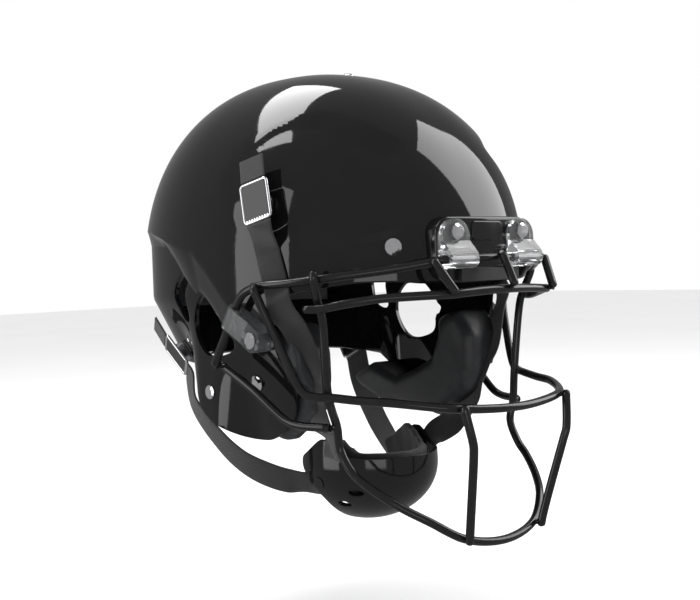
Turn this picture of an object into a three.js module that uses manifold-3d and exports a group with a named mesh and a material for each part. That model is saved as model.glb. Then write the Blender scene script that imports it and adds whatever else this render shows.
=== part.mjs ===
// American football helmet with its wire face mask, chin cup and straps.
// Millimetres, +Z up, the wearer faces -Y and the wearer's left is +X.
// The origin is the centre of the crown pad's flat inner face.
import * as THREE from 'three';
import { mergeVertices } from 'three/addons/utils/BufferGeometryUtils.js';
import Module from 'manifold-3d';

const wasm = await Module();
wasm.setup();

// Driving sizes of the shell
const shellHalfWidth = 118;
const frontReach = 163.7;
const rearReach = 142.6;
const crownHeight = 147.6;
const jawDrop = 113;
const shellWall = 3.5;
const crownPadThickness = 24.1;
const seatHeight = crownHeight - shellWall - crownPadThickness;

// The recessed lower wall: how far it lies from the dome's sides, front and rear, and the steps to it
const lowerSideInset = 15;
const lowerFrontOutset = 1.3;
const lowerRearInset = 7.6;
const lowerHalfWidth = shellHalfWidth - lowerSideInset;
const lowerFrontReach = frontReach + lowerFrontOutset;
const lowerRearReach = rearReach - lowerRearInset;
const chamferInset = 8;
const undercutHeight = 2.5;
const napeCreaseDrop = 14;
const napeCurl = 0.5;
const jawTuckDrop = 40;
const jawTuckShare = 0.2;
const recessDepth = 5;

// Powers of the superellipses that round the shell
const domePower = 2.22;
const frontPower = 2.4;
const rearPower = 2.16;
const lowerFrontPower = 3;
const lowerRearPower = 2.65;

// Wire, webbing, fasteners and clearances
const wireDiameter = 5.7;
const tieOvershoot = 0.8;
const strapWidth = 19;
const strapThickness = 1.5;
const clearance = 0.3;
const cutOverrun = 30;
const screwHeadDiameter = 11;
const screwHeadHeight = 2.4;
const screwShankDiameter = 4.8;
const nutDiameter = 13;
const nutHeight = 2.4;
const washerDiameter = 10;
const washerHeight = 1;
const crownRivetDiameter = 7;
const clipThickness = 4;
const frontClipWidth = 25;
const sideClipWidth = 16;
const sideClipReachShare = 0.159;
const sideClipReach = frontReach * sideClipReachShare;
const plateWidthShare = 0.384;
const plateHalfWidth = shellHalfWidth * plateWidthShare;
const frontClipInset = 13;
const frontClipSpacing = 2 * (plateHalfWidth - frontClipInset);
const plateTop = 36;
const clipScrewDrop = 9.9;
const frontClipDrop = 1.5;
const plateBottom = -6;
const plateStandoff = 3.8;
const plateReach = frontReach + plateStandoff;
const plateSweep = 2.5;
const plateCornerRadius = 12;
const namePanelMargin = 4.8;
const clipInnerReach = (frontClipSpacing - frontClipWidth) / 2;
const namePanelHalfWidth = clipInnerReach - namePanelMargin;
const namePanelTop = 33;
const namePanelBottom = 20.2;
const namePanelRelief = 1;
const bumperSideInset = 17;
const bumperHalfWidth = plateHalfWidth - bumperSideInset;
const bumperTop = 3;
const bumperThickness = 3.4;
const hingeStandoff = 8.4;
const hingeReach = frontReach + hingeStandoff;
const hingeHeight = 8.6;
const browBow = 3;

// Snap posts and buckles
const postBaseDiameter = 15;
const postBaseHeight = 1.6;
const studDiameter = 6.4;
const studHeight = 7;
const buckleLift = 8.5;
const buckleWidth = 23;
const buckleLength = 29;
const buckleRod = 2.2;
const buckleCornerRadius = 3.5;
const socketDiameter = 15;
const snapPlateThickness = 2.6;
const tailLength = 16;
const strapFlare = 3.8;

// Chin cup, and the pads that line the shell
const cupHalfWidth = 46;
const cupReach = 51;
const cupDepth = 38.5;
const cupLeanShare = 0.12;
const cupWall = 3;
const cupPadThickness = 6;
const cupPadRise = 3;
const cupSlotLength = 9;
const cupSlotHeight = 4;
const rivetDiameter = 9;
const rivetHeight = 1.4;
const crownPadRadius = 52;
const browPadThickness = 15;
const sidePadThickness = 25;
const rearPadThickness = 19;
const jawPadThickness = 34;
const jawPadBevel = 6;
const jawPadRearReach = 22;

// Counts
const shellColumns = 64;
const liningColumns = 48;
const domeRows = 12;
const liningRows = 9;
const wireSides = 8;
const wireChordShare = 0.035;
const firmlyMoreShare = 1.0001;
const clipRingShare = 0.75;
const endRoundShare = 0.48;
const clipSeatShare = 0.22;
const clipStepShare = 0.4;
const headCrownShare = 0.6;
const roundSides = 12;
const crownSides = 32;
const slabSteps = 8;
const sectorSteps = 8;
const cupColumns = 24;
const cupRows = 8;
const cornerSteps = 2;
const strapSteps = 14;
const seamShare = 0.84375;

// A place on the helmet in shares of the shell: half width, reach and height.
// Rearward and downward shares follow the rear reach and the jaw's drop.
const forward = (share) => share * (share < 0 ? rearReach : frontReach);
const upward = (share) => share * (share < 0 ? jawDrop : crownHeight);
const at = (x, f, z) => new THREE.Vector3(x * shellHalfWidth, -forward(f), upward(z));
const sidePoints = (shares) => shares.map(([f, z]) => new THREE.Vector2(forward(f), upward(z)));
const mirrored = (point) => new THREE.Vector3(-point.x, point.y, point.z);
const sides = [['right', -1], ['left', 1]];

const group = new THREE.Group();
const helmet = new THREE.Group();
helmet.position.z = -seatHeight;
group.add(helmet);

// Solids: a closed geometry with outward faces, and booleans between such geometries
function signedVolume(geometry) {
  const place = geometry.attributes.position;
  const corners = [new THREE.Vector3(), new THREE.Vector3(), new THREE.Vector3()];
  let volume = 0;
  for (let i = 0; i < geometry.index.count; i += 3) {
    corners.forEach((corner, k) => corner.fromBufferAttribute(place, geometry.index.getX(i + k)));
    volume += corners[0].dot(corners[1].cross(corners[2]));
  }
  return volume;
}

function closed(geometry) {
  const bare = geometry.clone();
  bare.deleteAttribute('normal');
  bare.deleteAttribute('uv');
  const merged = mergeVertices(bare);
  if (signedVolume(merged) < 0) merged.setIndex(Array.from(merged.index.array).reverse());
  return merged;
}

function solid(geometry) {
  const merged = closed(geometry);
  return new wasm.Manifold(new wasm.Mesh({
    numProp: 3,
    vertProperties: new Float32Array(merged.attributes.position.array),
    triVerts: new Uint32Array(merged.index.array),
  }));
}

function geometryOf(manifold) {
  const mesh = manifold.getMesh();
  const geometry = new THREE.BufferGeometry();
  geometry.setAttribute('position', new THREE.BufferAttribute(new Float32Array(mesh.vertProperties), 3));
  geometry.setIndex(Array.from(mesh.triVerts));
  return geometry;
}

const cut = (body, ...tools) => tools.reduce((rest, tool) => rest.subtract(tool), body);
const joined = (...bodies) => bodies.reduce((whole, body) => whole.add(body));
const finish = (color, roughness, metalness) => ({ color, roughness, metalness });
const gloss = finish(0x0c0c0d, 0.16, 0);
const satin = finish(0x17181a, 0.5, 0);
const fabric = finish(0x1b1c1e, 0.85, 0);
const chrome = finish(0xd8dadc, 0.2, 1);
const clear = finish(0xe6e8ea, 0.1, 0);
const smoky = finish(0x4c4e50, 0.15, 0);

function add(name, shape, look) {
  const geometry = shape.isBufferGeometry ? closed(shape) : closed(geometryOf(shape));
  const mesh = new THREE.Mesh(geometry, new THREE.MeshStandardMaterial(look));
  mesh.name = name;
  helmet.add(mesh);
}

// A closed solid from rows of points between a top and a bottom point
function rowsSolid(top, rows, bottom) {
  const columns = rows[0].length;
  const points = [top, ...rows.flat(), bottom];
  const faces = [];
  const corner = (row, column) => 1 + row * columns + (column % columns);
  for (let column = 0; column < columns; column += 1) {
    faces.push(0, corner(0, column), corner(0, column + 1));
    for (let row = 0; row + 1 < rows.length; row += 1) {
      faces.push(corner(row, column), corner(row + 1, column), corner(row + 1, column + 1));
      faces.push(corner(row, column), corner(row + 1, column + 1), corner(row, column + 1));
    }
    const last = rows.length - 1;
    faces.push(corner(last, column), points.length - 1, corner(last, column + 1));
  }
  const geometry = new THREE.BufferGeometry().setFromPoints(points);
  geometry.setIndex(faces);
  return geometry;
}

// Plan radius of a superellipse at an angle from the side axis, positive toward the face
function planRadius(angle, halfWidth, reach, power) {
  const across = (Math.abs(Math.cos(angle)) / halfWidth) ** power;
  const along = (Math.abs(Math.sin(angle)) / reach) ** power;
  return (across + along) ** (-1 / power);
}

function domeRadius(angle, height, inset) {
  const front = Math.sin(angle) >= 0;
  const reach = (front ? frontReach : rearReach) - inset;
  const plan = planRadius(angle, shellHalfWidth - inset, reach, front ? frontPower : rearPower);
  const level = Math.min(1, Math.max(0, height) / (crownHeight - inset));
  return plan * (1 - level ** domePower) ** (1 / domePower);
}

function lowerRadius(angle, height, inset) {
  const front = Math.sin(angle) >= 0;
  const reach = (front ? lowerFrontReach : lowerRearReach) - inset;
  const power = front ? lowerFrontPower : lowerRearPower;
  const plan = planRadius(angle, lowerHalfWidth - inset, reach, power);
  const frontward = Math.asin(Math.sin(angle)) / THREE.MathUtils.DEG2RAD;
  const curl = napeCurl * Math.max(0, -height - napeCreaseDrop);
  const tuck = jawTuckShare * Math.max(0, -height - jawTuckDrop);
  const atNape = THREE.MathUtils.smoothstep(-frontward, 8, 35);
  return plan - atNape * curl - THREE.MathUtils.smoothstep(frontward, 0, 24) * tuck;
}

// Side view lines, forward and upward shares: the ridge and the foot of its chamfer
const ridgeShares = [
  [-1, 0.271], [-0.505, 0.244], [-0.316, 0.21], [-0.175, 0.169], [-0.007, 0.136], [0.098, 0.038],
  [0.189, -0.088], [0.257, -0.191], [0.318, -0.274], [0.415, -0.372], [0.501, -0.478], [0.611, -0.584],
];
const chamferShares = [
  [-1, 0.183], [-0.435, 0.166], [-0.379, 0.149], [-0.309, 0.115], [-0.224, 0.065], [-0.077, -0.062],
  [0.055, -0.168], [0.159, -0.283], [0.214, -0.363], [0.305, -0.394], [0.415, -0.478], [0.501, -0.584],
  [0.611, -0.69],
];

function heightOnLine(line, reach) {
  const points = sidePoints(line);
  if (reach <= points[0].x) return points[0].y;
  for (let i = 1; i < points.length; i += 1) {
    if (reach <= points[i].x) {
      const part = (reach - points[i - 1].x) / (points[i].x - points[i - 1].x);
      return THREE.MathUtils.lerp(points[i - 1].y, points[i].y, part);
    }
  }
  return points[points.length - 1].y;
}

// The height where a column of the dome meets a side view line
function columnHeight(line, angle) {
  let height = 0;
  for (let pass = 0; pass < 24; pass += 1) {
    const reach = Math.sin(angle) * domeRadius(angle, height, 0);
    height = (height + heightOnLine(line, reach)) / 2;
  }
  return height;
}

const around = (angle, radius, height) => (
  new THREE.Vector3(Math.cos(angle) * radius, -Math.sin(angle) * radius, height)
);

// The shell's outer form, or its hollow when an inset is given
function shellForm(inset, columns, upperRows) {
  const angles = Array.from({ length: columns }, (_, i) => (i * 2 * Math.PI) / columns);
  const floor = -jawDrop - cutOverrun;
  const top = crownHeight - inset;
  const ridges = angles.map((angle) => columnHeight(ridgeShares, angle));
  const feet = angles.map((angle) => columnHeight(chamferShares, angle));
  const rows = [];
  for (let row = upperRows - 1; row >= 0; row -= 1) {
    const rise = Math.sin((row / upperRows) * (Math.PI / 2)) ** (2 / domePower);
    rows.push(angles.map((angle, i) => {
      const height = THREE.MathUtils.lerp(ridges[i], top, rise);
      return around(angle, domeRadius(angle, height, inset), height);
    }));
  }
  rows.push(angles.map((angle, i) => {
    const reach = Math.sin(angle) * domeRadius(angle, feet[i], 0);
    const weight = THREE.MathUtils.smoothstep(reach, forward(-0.43), forward(-0.21));
    const chamfered = domeRadius(angle, ridges[i], inset) - chamferInset;
    const height = feet[i] + (inset * (ridges[i] - feet[i])) / (4 * shellWall);
    const radius = THREE.MathUtils.lerp(lowerRadius(angle, feet[i], inset), chamfered, weight);
    return around(angle, radius, height);
  }));
  rows.push(angles.map((angle, i) => {
    const footHeight = rows[rows.length - 1][i].z;
    const height = Math.min(feet[i] - undercutHeight + inset, footHeight - undercutHeight / 2);
    return around(angle, lowerRadius(angle, height, inset), height);
  }));
  const step = rows[rows.length - 1];
  rows.push(angles.map((angle, i) => {
    const height = Math.min(-napeCreaseDrop, step[i].z - undercutHeight);
    return around(angle, lowerRadius(angle, height, inset), height);
  }));
  const crease = rows[rows.length - 1];
  rows.push(angles.map((angle, i) => {
    const height = Math.min(-jawTuckDrop, crease[i].z - undercutHeight);
    return around(angle, lowerRadius(angle, height, inset), height);
  }));
  rows.push(angles.map((angle) => around(angle, lowerRadius(angle, floor, inset), floor)));
  return solid(rowsSolid(new THREE.Vector3(0, 0, top), rows, new THREE.Vector3(0, 0, floor)));
}

// A plain dome without the recessed lower wall, for the inner faces of the pads
function plainDome(inset) {
  const angles = Array.from({ length: liningColumns }, (_, i) => (i * 2 * Math.PI) / liningColumns);
  const floor = -jawDrop - cutOverrun;
  const top = crownHeight - inset;
  const rows = [];
  for (let row = liningRows - 1; row >= 0; row -= 1) {
    const height = top * Math.sin((row / liningRows) * (Math.PI / 2)) ** (2 / domePower);
    rows.push(angles.map((angle) => around(angle, domeRadius(angle, height, inset), height)));
  }
  rows.push(angles.map((angle) => around(angle, domeRadius(angle, 0, inset), floor)));
  return solid(rowsSolid(new THREE.Vector3(0, 0, top), rows, new THREE.Vector3(0, 0, floor)));
}

function extruded(shape, depth) {
  return new THREE.ExtrudeGeometry(shape, { depth, bevelEnabled: false, curveSegments: cornerSteps });
}

// A side view outline, forward and upward, extruded across the helmet
function sidePrism(points, from, to) {
  const geometry = extruded(new THREE.Shape(points), to - from);
  const basis = new THREE.Matrix4().makeBasis(
    new THREE.Vector3(0, -1, 0),
    new THREE.Vector3(0, 0, 1),
    new THREE.Vector3(-1, 0, 0),
  );
  return geometry.applyMatrix4(basis).translate(to, 0, 0);
}

// A front view outline, across and upward, extruded from a near to a far reach
function frontPrism(points, from, to) {
  const geometry = extruded(new THREE.Shape(points), to - from);
  return geometry.rotateX(Math.PI / 2).translate(0, -from, 0);
}

// A plan outline, across and forward, extruded between two heights
function planPrism(points, from, to) {
  const flipped = points.map((point) => new THREE.Vector2(point.x, -point.y));
  const geometry = extruded(new THREE.Shape(flipped), to - from);
  return geometry.translate(0, 0, from);
}

function roundedRectangle(width, height, radius) {
  const shape = new THREE.Shape();
  const x = width / 2;
  const y = height / 2;
  shape.moveTo(-x + radius, -y);
  shape.lineTo(x - radius, -y);
  shape.absarc(x - radius, -y + radius, radius, -Math.PI / 2, 0, false);
  shape.lineTo(x, y - radius);
  shape.absarc(x - radius, y - radius, radius, 0, Math.PI / 2, false);
  shape.lineTo(-x + radius, y);
  shape.absarc(-x + radius, y - radius, radius, Math.PI / 2, Math.PI, false);
  shape.lineTo(-x, -y + radius);
  shape.absarc(-x + radius, -y + radius, radius, Math.PI, Math.PI * 1.5, false);
  return shape;
}

const smoothOutline = (points) => (
  new THREE.CatmullRomCurve3(points.map((point) => new THREE.Vector3(point.x, point.y, 0)), true)
    .getPoints(points.length * 2)
    .slice(0, -1)
    .map((point) => new THREE.Vector2(point.x, point.y))
);

// A turned piece on an axis that starts at a point and runs along a direction
function turned(profile, start, direction, segments = roundSides) {
  const geometry = new THREE.LatheGeometry(profile.map(([r, h]) => new THREE.Vector2(r, h)), segments);
  const turn = new THREE.Quaternion().setFromUnitVectors(new THREE.Vector3(0, 1, 0), direction);
  return geometry.applyQuaternion(turn).translate(start.x, start.y, start.z);
}

const disc = (radius, from, to) => [[0, from], [radius, from], [radius, to], [0, to]];

// Where a named point of the shell lies, and which way its surface faces
function shellFrame(angleShare, height, radiusAt) {
  const angle = angleShare * Math.PI;
  const point = around(angle, radiusAt(angle, height, 0), height);
  const turn = 0.001;
  const rise = turn * shellHalfWidth;
  const alongPlan = around(angle + turn, radiusAt(angle + turn, height, 0), height).sub(point);
  const alongRise = around(angle, radiusAt(angle, height + rise, 0), height + rise).sub(point);
  return { point, normal: alongRise.cross(alongPlan).normalize() };
}

const mirroredFrame = ({ point, normal }) => ({ point: mirrored(point), normal: mirrored(normal) });
const alongFrame = (frame, distance) => frame.point.clone().addScaledVector(frame.normal, distance);

// The shell's kept side outline: brow edge, face opening, jaw flap and nape
const keptShares = [
  [0.965, -0.062], [0.904, -0.041], [0.8, -0.039], [0.706, -0.056], [0.593, -0.08], [0.52, -0.1],
  [0.478, -0.15], [0.466, -0.25], [0.468, -0.36], [0.49, -0.46], [0.505, -0.54], [0.497, -0.62],
  [0.477, -0.7], [0.455, -0.8], [0.425, -0.868], [0.37, -0.925], [0.29, -0.98], [0.2, -0.985],
  [0.13, -0.965], [-0.07, -0.858], [-0.168, -0.69], [-0.252, -0.549], [-1.3, -0.549], [-1.3, 1.3],
  [1.3, 1.3], [1.3, -0.062],
];
const earShares = [
  [0, -0.071], [-0.112, -0.159], [-0.126, -0.327], [-0.028, -0.469], [0.134, -0.442], [0.153, -0.336],
  [0.11, -0.212],
];
const ventShares = [
  [-0.217, 0.034], [-0.175, 0], [-0.21, -0.097], [-0.189, -0.257], [-0.266, -0.239], [-0.316, -0.106],
  [-0.295, -0.027],
];
const recessShares = [
  [0.395, 0.716], [0.498, 0.749], [0.586, 0.732], [0.709, 0.667], [0.821, 0.579], [0.878, 0.363],
  [0.913, 0.208], [0.866, 0.147], [0.7, 0.12], [0.4, 0.16], [0.1, 0.4], [0.2, 0.62],
];

const middleOf = (outline) => (
  outline.reduce((sum, point) => sum.add(point), new THREE.Vector2()).divideScalar(outline.length)
);

// A recess: the part of a form outside the same form moved to the rear
function recessTool(form, outline, grow) {
  const moved = form.translate([0, recessDepth, 0]);
  const centre = middleOf(outline);
  const grown = outline.map((point) => (
    point.clone().sub(centre).setLength(point.distanceTo(centre) + grow).add(centre)
  ));
  const reach = shellHalfWidth + cutOverrun;
  const inner = shellHalfWidth / 4;
  const right = solid(sidePrism(grown, -reach, -inner));
  const left = solid(sidePrism(grown, inner, reach));
  return joined(right, left).subtract(moved);
}

function shellSolid(inset, columns, rows) {
  const form = shellForm(inset, columns, rows);
  return form.subtract(recessTool(form, sidePoints(recessShares), inset));
}

const outerForm = shellForm(0, shellColumns, domeRows);
const grownForm = shellForm(-clearance, shellColumns, domeRows);
const outerSolid = outerForm.subtract(recessTool(outerForm, sidePoints(recessShares), 0));
const hollow = shellSolid(shellWall, liningColumns, liningRows);
const liningSpace = shellSolid(shellWall + clearance, liningColumns, liningRows);

// Screw places on the shell, by plan angle share of a half turn and height share
const templeFrame = shellFrame(0.366, upward(0.12), domeRadius);
const jawRivetFrame = shellFrame(-0.0095, upward(-0.699), lowerRadius);
const jawScrewFrame = shellFrame(0.133, upward(-0.628), lowerRadius);
const crownFrame = shellFrame(0.5, upward(0.98), domeRadius);
const upperSnapFrame = shellFrame(0.183, upward(0.3286), domeRadius);
const rearSnapFrame = shellFrame(-0.209, upward(-0.46), lowerRadius);

// Wire routes
const weldPitch = wireDiameter * (1 + wireChordShare) + clearance;
const wireRadius = wireDiameter / 2;
const beside = (point, x, f, z = 0) => (
  point.clone().addScaledVector(new THREE.Vector3(x, -f, z).normalize(), weldPitch)
);

// Where wires cross: the wire that lies nearer the face
const browAtTie = at(0.43, 1.017, 0.05);
const browAtLoop = at(0.874, 0.686, -0.013);
const browAtMid = at(0.991, 0.447, -0.04);
const eyeAtTie = at(0.398, 1.082, -0.117);
const loopAtEye = at(0.853, 0.689, -0.175);
const loopAtMid = at(0.787, 0.671, -0.68);
const loopAtLower = at(0.747, 0.684, -0.858);
const loopAtUpright = at(0.289, 1.045, -1.512);
const midAtUpright = at(0.415, 1.121, -0.75);
const browCentre = new THREE.Vector3(0, -hingeReach - browBow, hingeHeight);
const eyeCentre = at(0, 1.127, -0.102);
const loopEnd = at(1.026, 0.166, -0.512);
const loopBend = at(1.026, 0.336, -0.142);

class Route extends THREE.Curve {
  constructor(points, tangents) {
    super();
    this.points = points;
    this.tangents = tangents;
  }

  getPointAt(share) {
    return this.points[Math.round(share * (this.points.length - 1))].clone();
  }

  getTangentAt(share) {
    return this.tangents[Math.round(share * (this.points.length - 1))].clone();
  }
}

// Rings where the wire leaves its chord, so straight runs take few of them
function ringPlaces(points, from, to) {
  const chord = new THREE.Line3(points[from], points[to]);
  const nearest = new THREE.Vector3();
  let furthest = from;
  let most = wireChordShare * wireDiameter;
  for (let i = from + 1; i < to; i += 1) {
    const away = chord.closestPointToPoint(points[i], true, nearest).distanceTo(points[i]);
    if (away > most * firmlyMoreShare) [furthest, most] = [i, away];
  }
  if (furthest === from) return [from];
  return [...ringPlaces(points, from, furthest), ...ringPlaces(points, furthest, to)];
}

function wireGeometry(points) {
  const curve = new THREE.CatmullRomCurve3(points, false, 'centripetal');
  const fine = 400;
  const kept = [...ringPlaces(curve.getSpacedPoints(fine), 0, fine), fine];
  const route = new Route(
    kept.map((i) => curve.getPointAt(i / fine)),
    kept.map((i) => curve.getTangentAt(i / fine)),
  );
  const ring = Array.from({ length: wireSides }, (_, i) => {
    const angle = (i * 2 * Math.PI) / wireSides;
    return new THREE.Vector2(Math.cos(angle) * wireRadius, Math.sin(angle) * wireRadius);
  });
  return new THREE.ExtrudeGeometry(new THREE.Shape(ring), {
    steps: kept.length - 1, extrudePath: route, bevelEnabled: false,
  });
}

// A wire that crosses the face from the right half to its mirror
const spanned = (half) => [...half.slice(1).reverse().map(mirrored), ...half];
const onSide = (sign, points) => (sign < 0 ? points.map(mirrored) : points);

const browHalf = [
  browCentre,
  new THREE.Vector3(clipInnerReach * 0.45, -hingeReach - browBow * 0.8, hingeHeight),
  new THREE.Vector3(clipInnerReach * 0.96, -hingeReach, hingeHeight),
  new THREE.Vector3(clipInnerReach + clearance, -hingeReach, hingeHeight),
  new THREE.Vector3(clipInnerReach + frontClipWidth - clearance, -hingeReach, hingeHeight),
  new THREE.Vector3(plateHalfWidth + clearance, -hingeReach, hingeHeight),
  browAtTie,
  at(0.568, 0.936, 0.029),
  at(0.754, 0.8, 0.006),
  browAtLoop,
  at(0.957, 0.54, -0.031),
  browAtMid,
  at(1.008, 0.42, -0.052),
  at(1.024, 0.37, -0.086),
  loopBend,
  loopBend.clone().lerp(loopEnd, 0.05),
  loopBend.clone().lerp(loopEnd, 0.5),
  loopEnd,
];
add('brow_bar', wireGeometry(spanned(browHalf)), gloss);

const eyeHalf = [
  eyeCentre, at(0.2, 1.112, -0.106), eyeAtTie, at(0.534, 1.012, -0.12), at(0.695, 0.913, -0.128),
  at(0.814, 0.812, -0.15), beside(loopAtEye, 0.74, 0.68), at(0.932, 0.66, -0.177),
];
add('eye_bar', wireGeometry(spanned(eyeHalf)), gloss);

const loopHalf = [
  at(0, 1.07, -1.56), loopAtUpright, at(0.47, 0.98, -1.395), at(0.583, 0.899, -1.305),
  at(0.669, 0.8, -1.2), at(0.703, 0.728, -1.115), at(0.722, 0.678, -0.988), loopAtLower, loopAtMid,
  at(0.832, 0.687, -0.24), loopAtEye, beside(browAtLoop, 0.74, 0.68),
  beside(browAtLoop, 0.74, 0.68).add(new THREE.Vector3(0, 0, wireDiameter)),
];
add('cage_loop', wireGeometry(spanned(loopHalf)), gloss);

const midHalf = [
  at(0, 1.168, -0.774), at(0.2, 1.156, -0.768), midAtUpright, at(0.508, 1.081, -0.737),
  at(0.669, 0.94, -0.706), at(0.746, 0.82, -0.696), beside(loopAtMid, 0.62, 0.78),
  at(0.862, 0.655, -0.676), at(0.89, 0.607, -0.649), at(0.963, 0.518, -0.347), beside(browAtMid, 1, 0.1),
];
add('mid_bar', wireGeometry(spanned(midHalf)), gloss);

// Each tie runs past the two bars that it joins by half a wire
function tied(upper, lower) {
  const along = upper.clone().sub(lower).setLength(tieOvershoot);
  return [upper.clone().add(along), upper.clone().lerp(lower, 0.5), lower.clone().sub(along)];
}

const centreTie = tied(beside(browCentre, 0, 0.906, 0.424), beside(eyeCentre, 0, 0.906, 0.424));
const sideTie = tied(beside(browAtTie, 0.7, 0.7, 0.14), beside(eyeAtTie, 0.28, 0.94, 0.2));
add('brow_tie_centre', wireGeometry(centreTie), gloss);
for (const [side, sign] of sides) add(`brow_tie_${side}`, wireGeometry(onSide(sign, sideTie)), gloss);

for (const [side, sign] of sides) {
  const uprightTop = beside(midAtUpright, 0.3, 0.95);
  const uprightFoot = beside(loopAtUpright, 0.35, 0.94);
  const upright = [
    uprightTop.clone().add(new THREE.Vector3(0, 0, wireDiameter / 2)), uprightTop,
    at(0.396, 1.172, -0.95), at(0.385, 1.165, -1), uprightFoot,
    uprightFoot.clone().add(new THREE.Vector3(0, 0, -wireDiameter / 2)),
  ];
  add(`front_upright_${side}`, wireGeometry(onSide(sign, upright)), gloss);
  const lower = [
    beside(loopEnd, -1, 0.1), at(0.93, 0.336, -0.659), at(0.88, 0.487, -0.822), at(0.86, 0.545, -0.849),
    beside(loopAtLower, 1, -0.05).lerp(at(0.86, 0.545, -0.849), 0.3), beside(loopAtLower, 1, -0.05),
  ];
  add(`lower_bar_${side}`, wireGeometry(onSide(sign, lower)), gloss);
}

// Brow plate with its bare name panel, and the rubber bumper under it
const plateFront = (x) => plateReach - plateSweep * (x / plateHalfWidth) ** 2;

function plateSlab(from, to, halfWidth) {
  const stations = Array.from({ length: slabSteps + 1 }, (_, i) => halfWidth * ((2 * i) / slabSteps - 1));
  const back = stations.map((x) => new THREE.Vector2(x, from(x)));
  const front = stations.map((x) => new THREE.Vector2(x, to(x))).reverse();
  return [...back, ...front];
}

const plateDepth = () => frontReach - cutOverrun;
const plateMiddle = (plateTop + plateBottom) / 2;
const plateOutline = roundedRectangle(2 * plateHalfWidth, plateTop - plateBottom, plateCornerRadius)
  .getPoints(5)
  .map((point) => new THREE.Vector2(point.x, point.y + plateMiddle));
const plateSides = plateSlab(plateDepth, plateFront, plateHalfWidth);
const platePlan = solid(planPrism(plateSides, plateBottom, plateTop));
const plateEdge = solid(frontPrism(plateOutline, frontReach - cutOverrun, 2 * frontReach));
const plateBody = platePlan.intersect(plateEdge);
const panelFront = (x) => plateFront(x) + namePanelRelief;
const namePanel = solid(planPrism(
  plateSlab(plateDepth, panelFront, namePanelHalfWidth),
  namePanelBottom,
  namePanelTop,
));
const platePiece = joined(plateBody, namePanel).subtract(grownForm);
const plateClear = solid(planPrism(
  plateSlab(plateDepth, (x) => plateFront(x) + clearance, plateHalfWidth + clearance),
  plateBottom - clearance,
  plateTop + clearance,
));
const bumperBack = (x) => plateFront(x) + clearance;
const bumperFront = (x) => bumperBack(x) + bumperThickness;
const clipRing = wireRadius + clearance + clipThickness * clipRingShare;
const acrossAxis = new THREE.Vector3(1, 0, 0);
const ringClear = solid(turned(
  disc(clipRing + clearance, 0, 4 * plateHalfWidth),
  new THREE.Vector3(-2 * plateHalfWidth, -hingeReach, hingeHeight),
  acrossAxis,
));
const bumper = solid(planPrism(plateSlab(bumperBack, bumperFront, bumperHalfWidth), plateBottom, bumperTop));
add('brow_bumper', bumper.subtract(ringClear), satin);

const screwProfile = (shank) => [
  [0, -shank], [screwShankDiameter / 2, -shank], [screwShankDiameter / 2, 0], [screwHeadDiameter / 2, 0],
  [screwHeadDiameter / 2, screwHeadHeight / 2], [screwHeadDiameter / 3, screwHeadHeight],
  [0, screwHeadHeight],
];

// Front clips: each wraps the brow bar and lies on the plate under one screw
const toFront = new THREE.Vector3(0, -1, 0);
const clipScrewHeight = plateTop - clipScrewDrop;
const clipFace = plateFront(frontClipSpacing / 2) + clipThickness;
const clipTop = plateTop - frontClipDrop;
const clipSlopeTop = clipScrewHeight - screwHeadDiameter / 2 - clearance;
const frontShanks = [];
const frontNutPockets = [];
const clipAngle = Math.PI / 2 - Math.atan(frontClipSpacing / 2 / frontReach);
const browWallReach = Math.sin(clipAngle) * domeRadius(clipAngle, clipScrewHeight, shellWall);

for (const [side, sign] of sides) {
  const x = (sign * frontClipSpacing) / 2;
  const profile = [
    new THREE.Vector2(frontReach - cutOverrun, hingeHeight),
    new THREE.Vector2(hingeReach + clipRing, hingeHeight),
    new THREE.Vector2(hingeReach + clipRing * clipRingShare, hingeHeight + clipRing * clipRingShare),
    new THREE.Vector2(clipFace, clipSlopeTop),
    new THREE.Vector2(clipFace, clipTop),
    new THREE.Vector2(frontReach - cutOverrun, clipTop),
  ];
  const from = x - frontClipWidth / 2;
  const to = x + frontClipWidth / 2;
  const tongue = solid(sidePrism(profile, from, to));
  const start = new THREE.Vector3(from, -hingeReach, hingeHeight);
  const ring = solid(turned(disc(clipRing, 0, frontClipWidth), start, acrossAxis));
  const bore = solid(turned(disc(wireRadius + clearance, -cutOverrun, 2 * cutOverrun), start, acrossAxis));
  const tongueLength = 2 * (clipTop - hingeHeight);
  const stadium = roundedRectangle(frontClipWidth, tongueLength, frontClipWidth * endRoundShare)
    .getPoints(6)
    .map((point) => new THREE.Vector2(point.x + x, point.y + hingeHeight));
  const outline = solid(frontPrism(stadium, frontReach - cutOverrun, 2 * frontReach));
  const screwStart = new THREE.Vector3(x, -clipFace - clearance, clipScrewHeight);
  const shankHole = solid(turned(
    disc(screwShankDiameter / 2 + clearance, -2 * cutOverrun, cutOverrun), screwStart, toFront,
  ));
  const clipBody = joined(tongue.intersect(outline), ring);
  add(`front_clip_${side}`, cut(clipBody, plateClear, grownForm, bore, shankHole), clear);
  frontShanks.push(shankHole);
  const shankLength = clipFace + clearance - browWallReach + nutHeight + clearance;
  const screw = turned(screwProfile(shankLength), screwStart, toFront);
  const nutStart = new THREE.Vector3(x, -browWallReach + nutHeight + clearance, clipScrewHeight);
  const nut = solid(turned(disc(nutDiameter / 2, 0, cutOverrun), nutStart, toFront)).intersect(liningSpace);
  add(`front_clip_screw_${side}`, joined(solid(screw), nut), chrome);
  frontNutPockets.push(solid(turned(disc(nutDiameter, -nutHeight, cutOverrun), nutStart, toFront)));
}
add('brow_plate', cut(platePiece, ...frontShanks), gloss);

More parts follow.
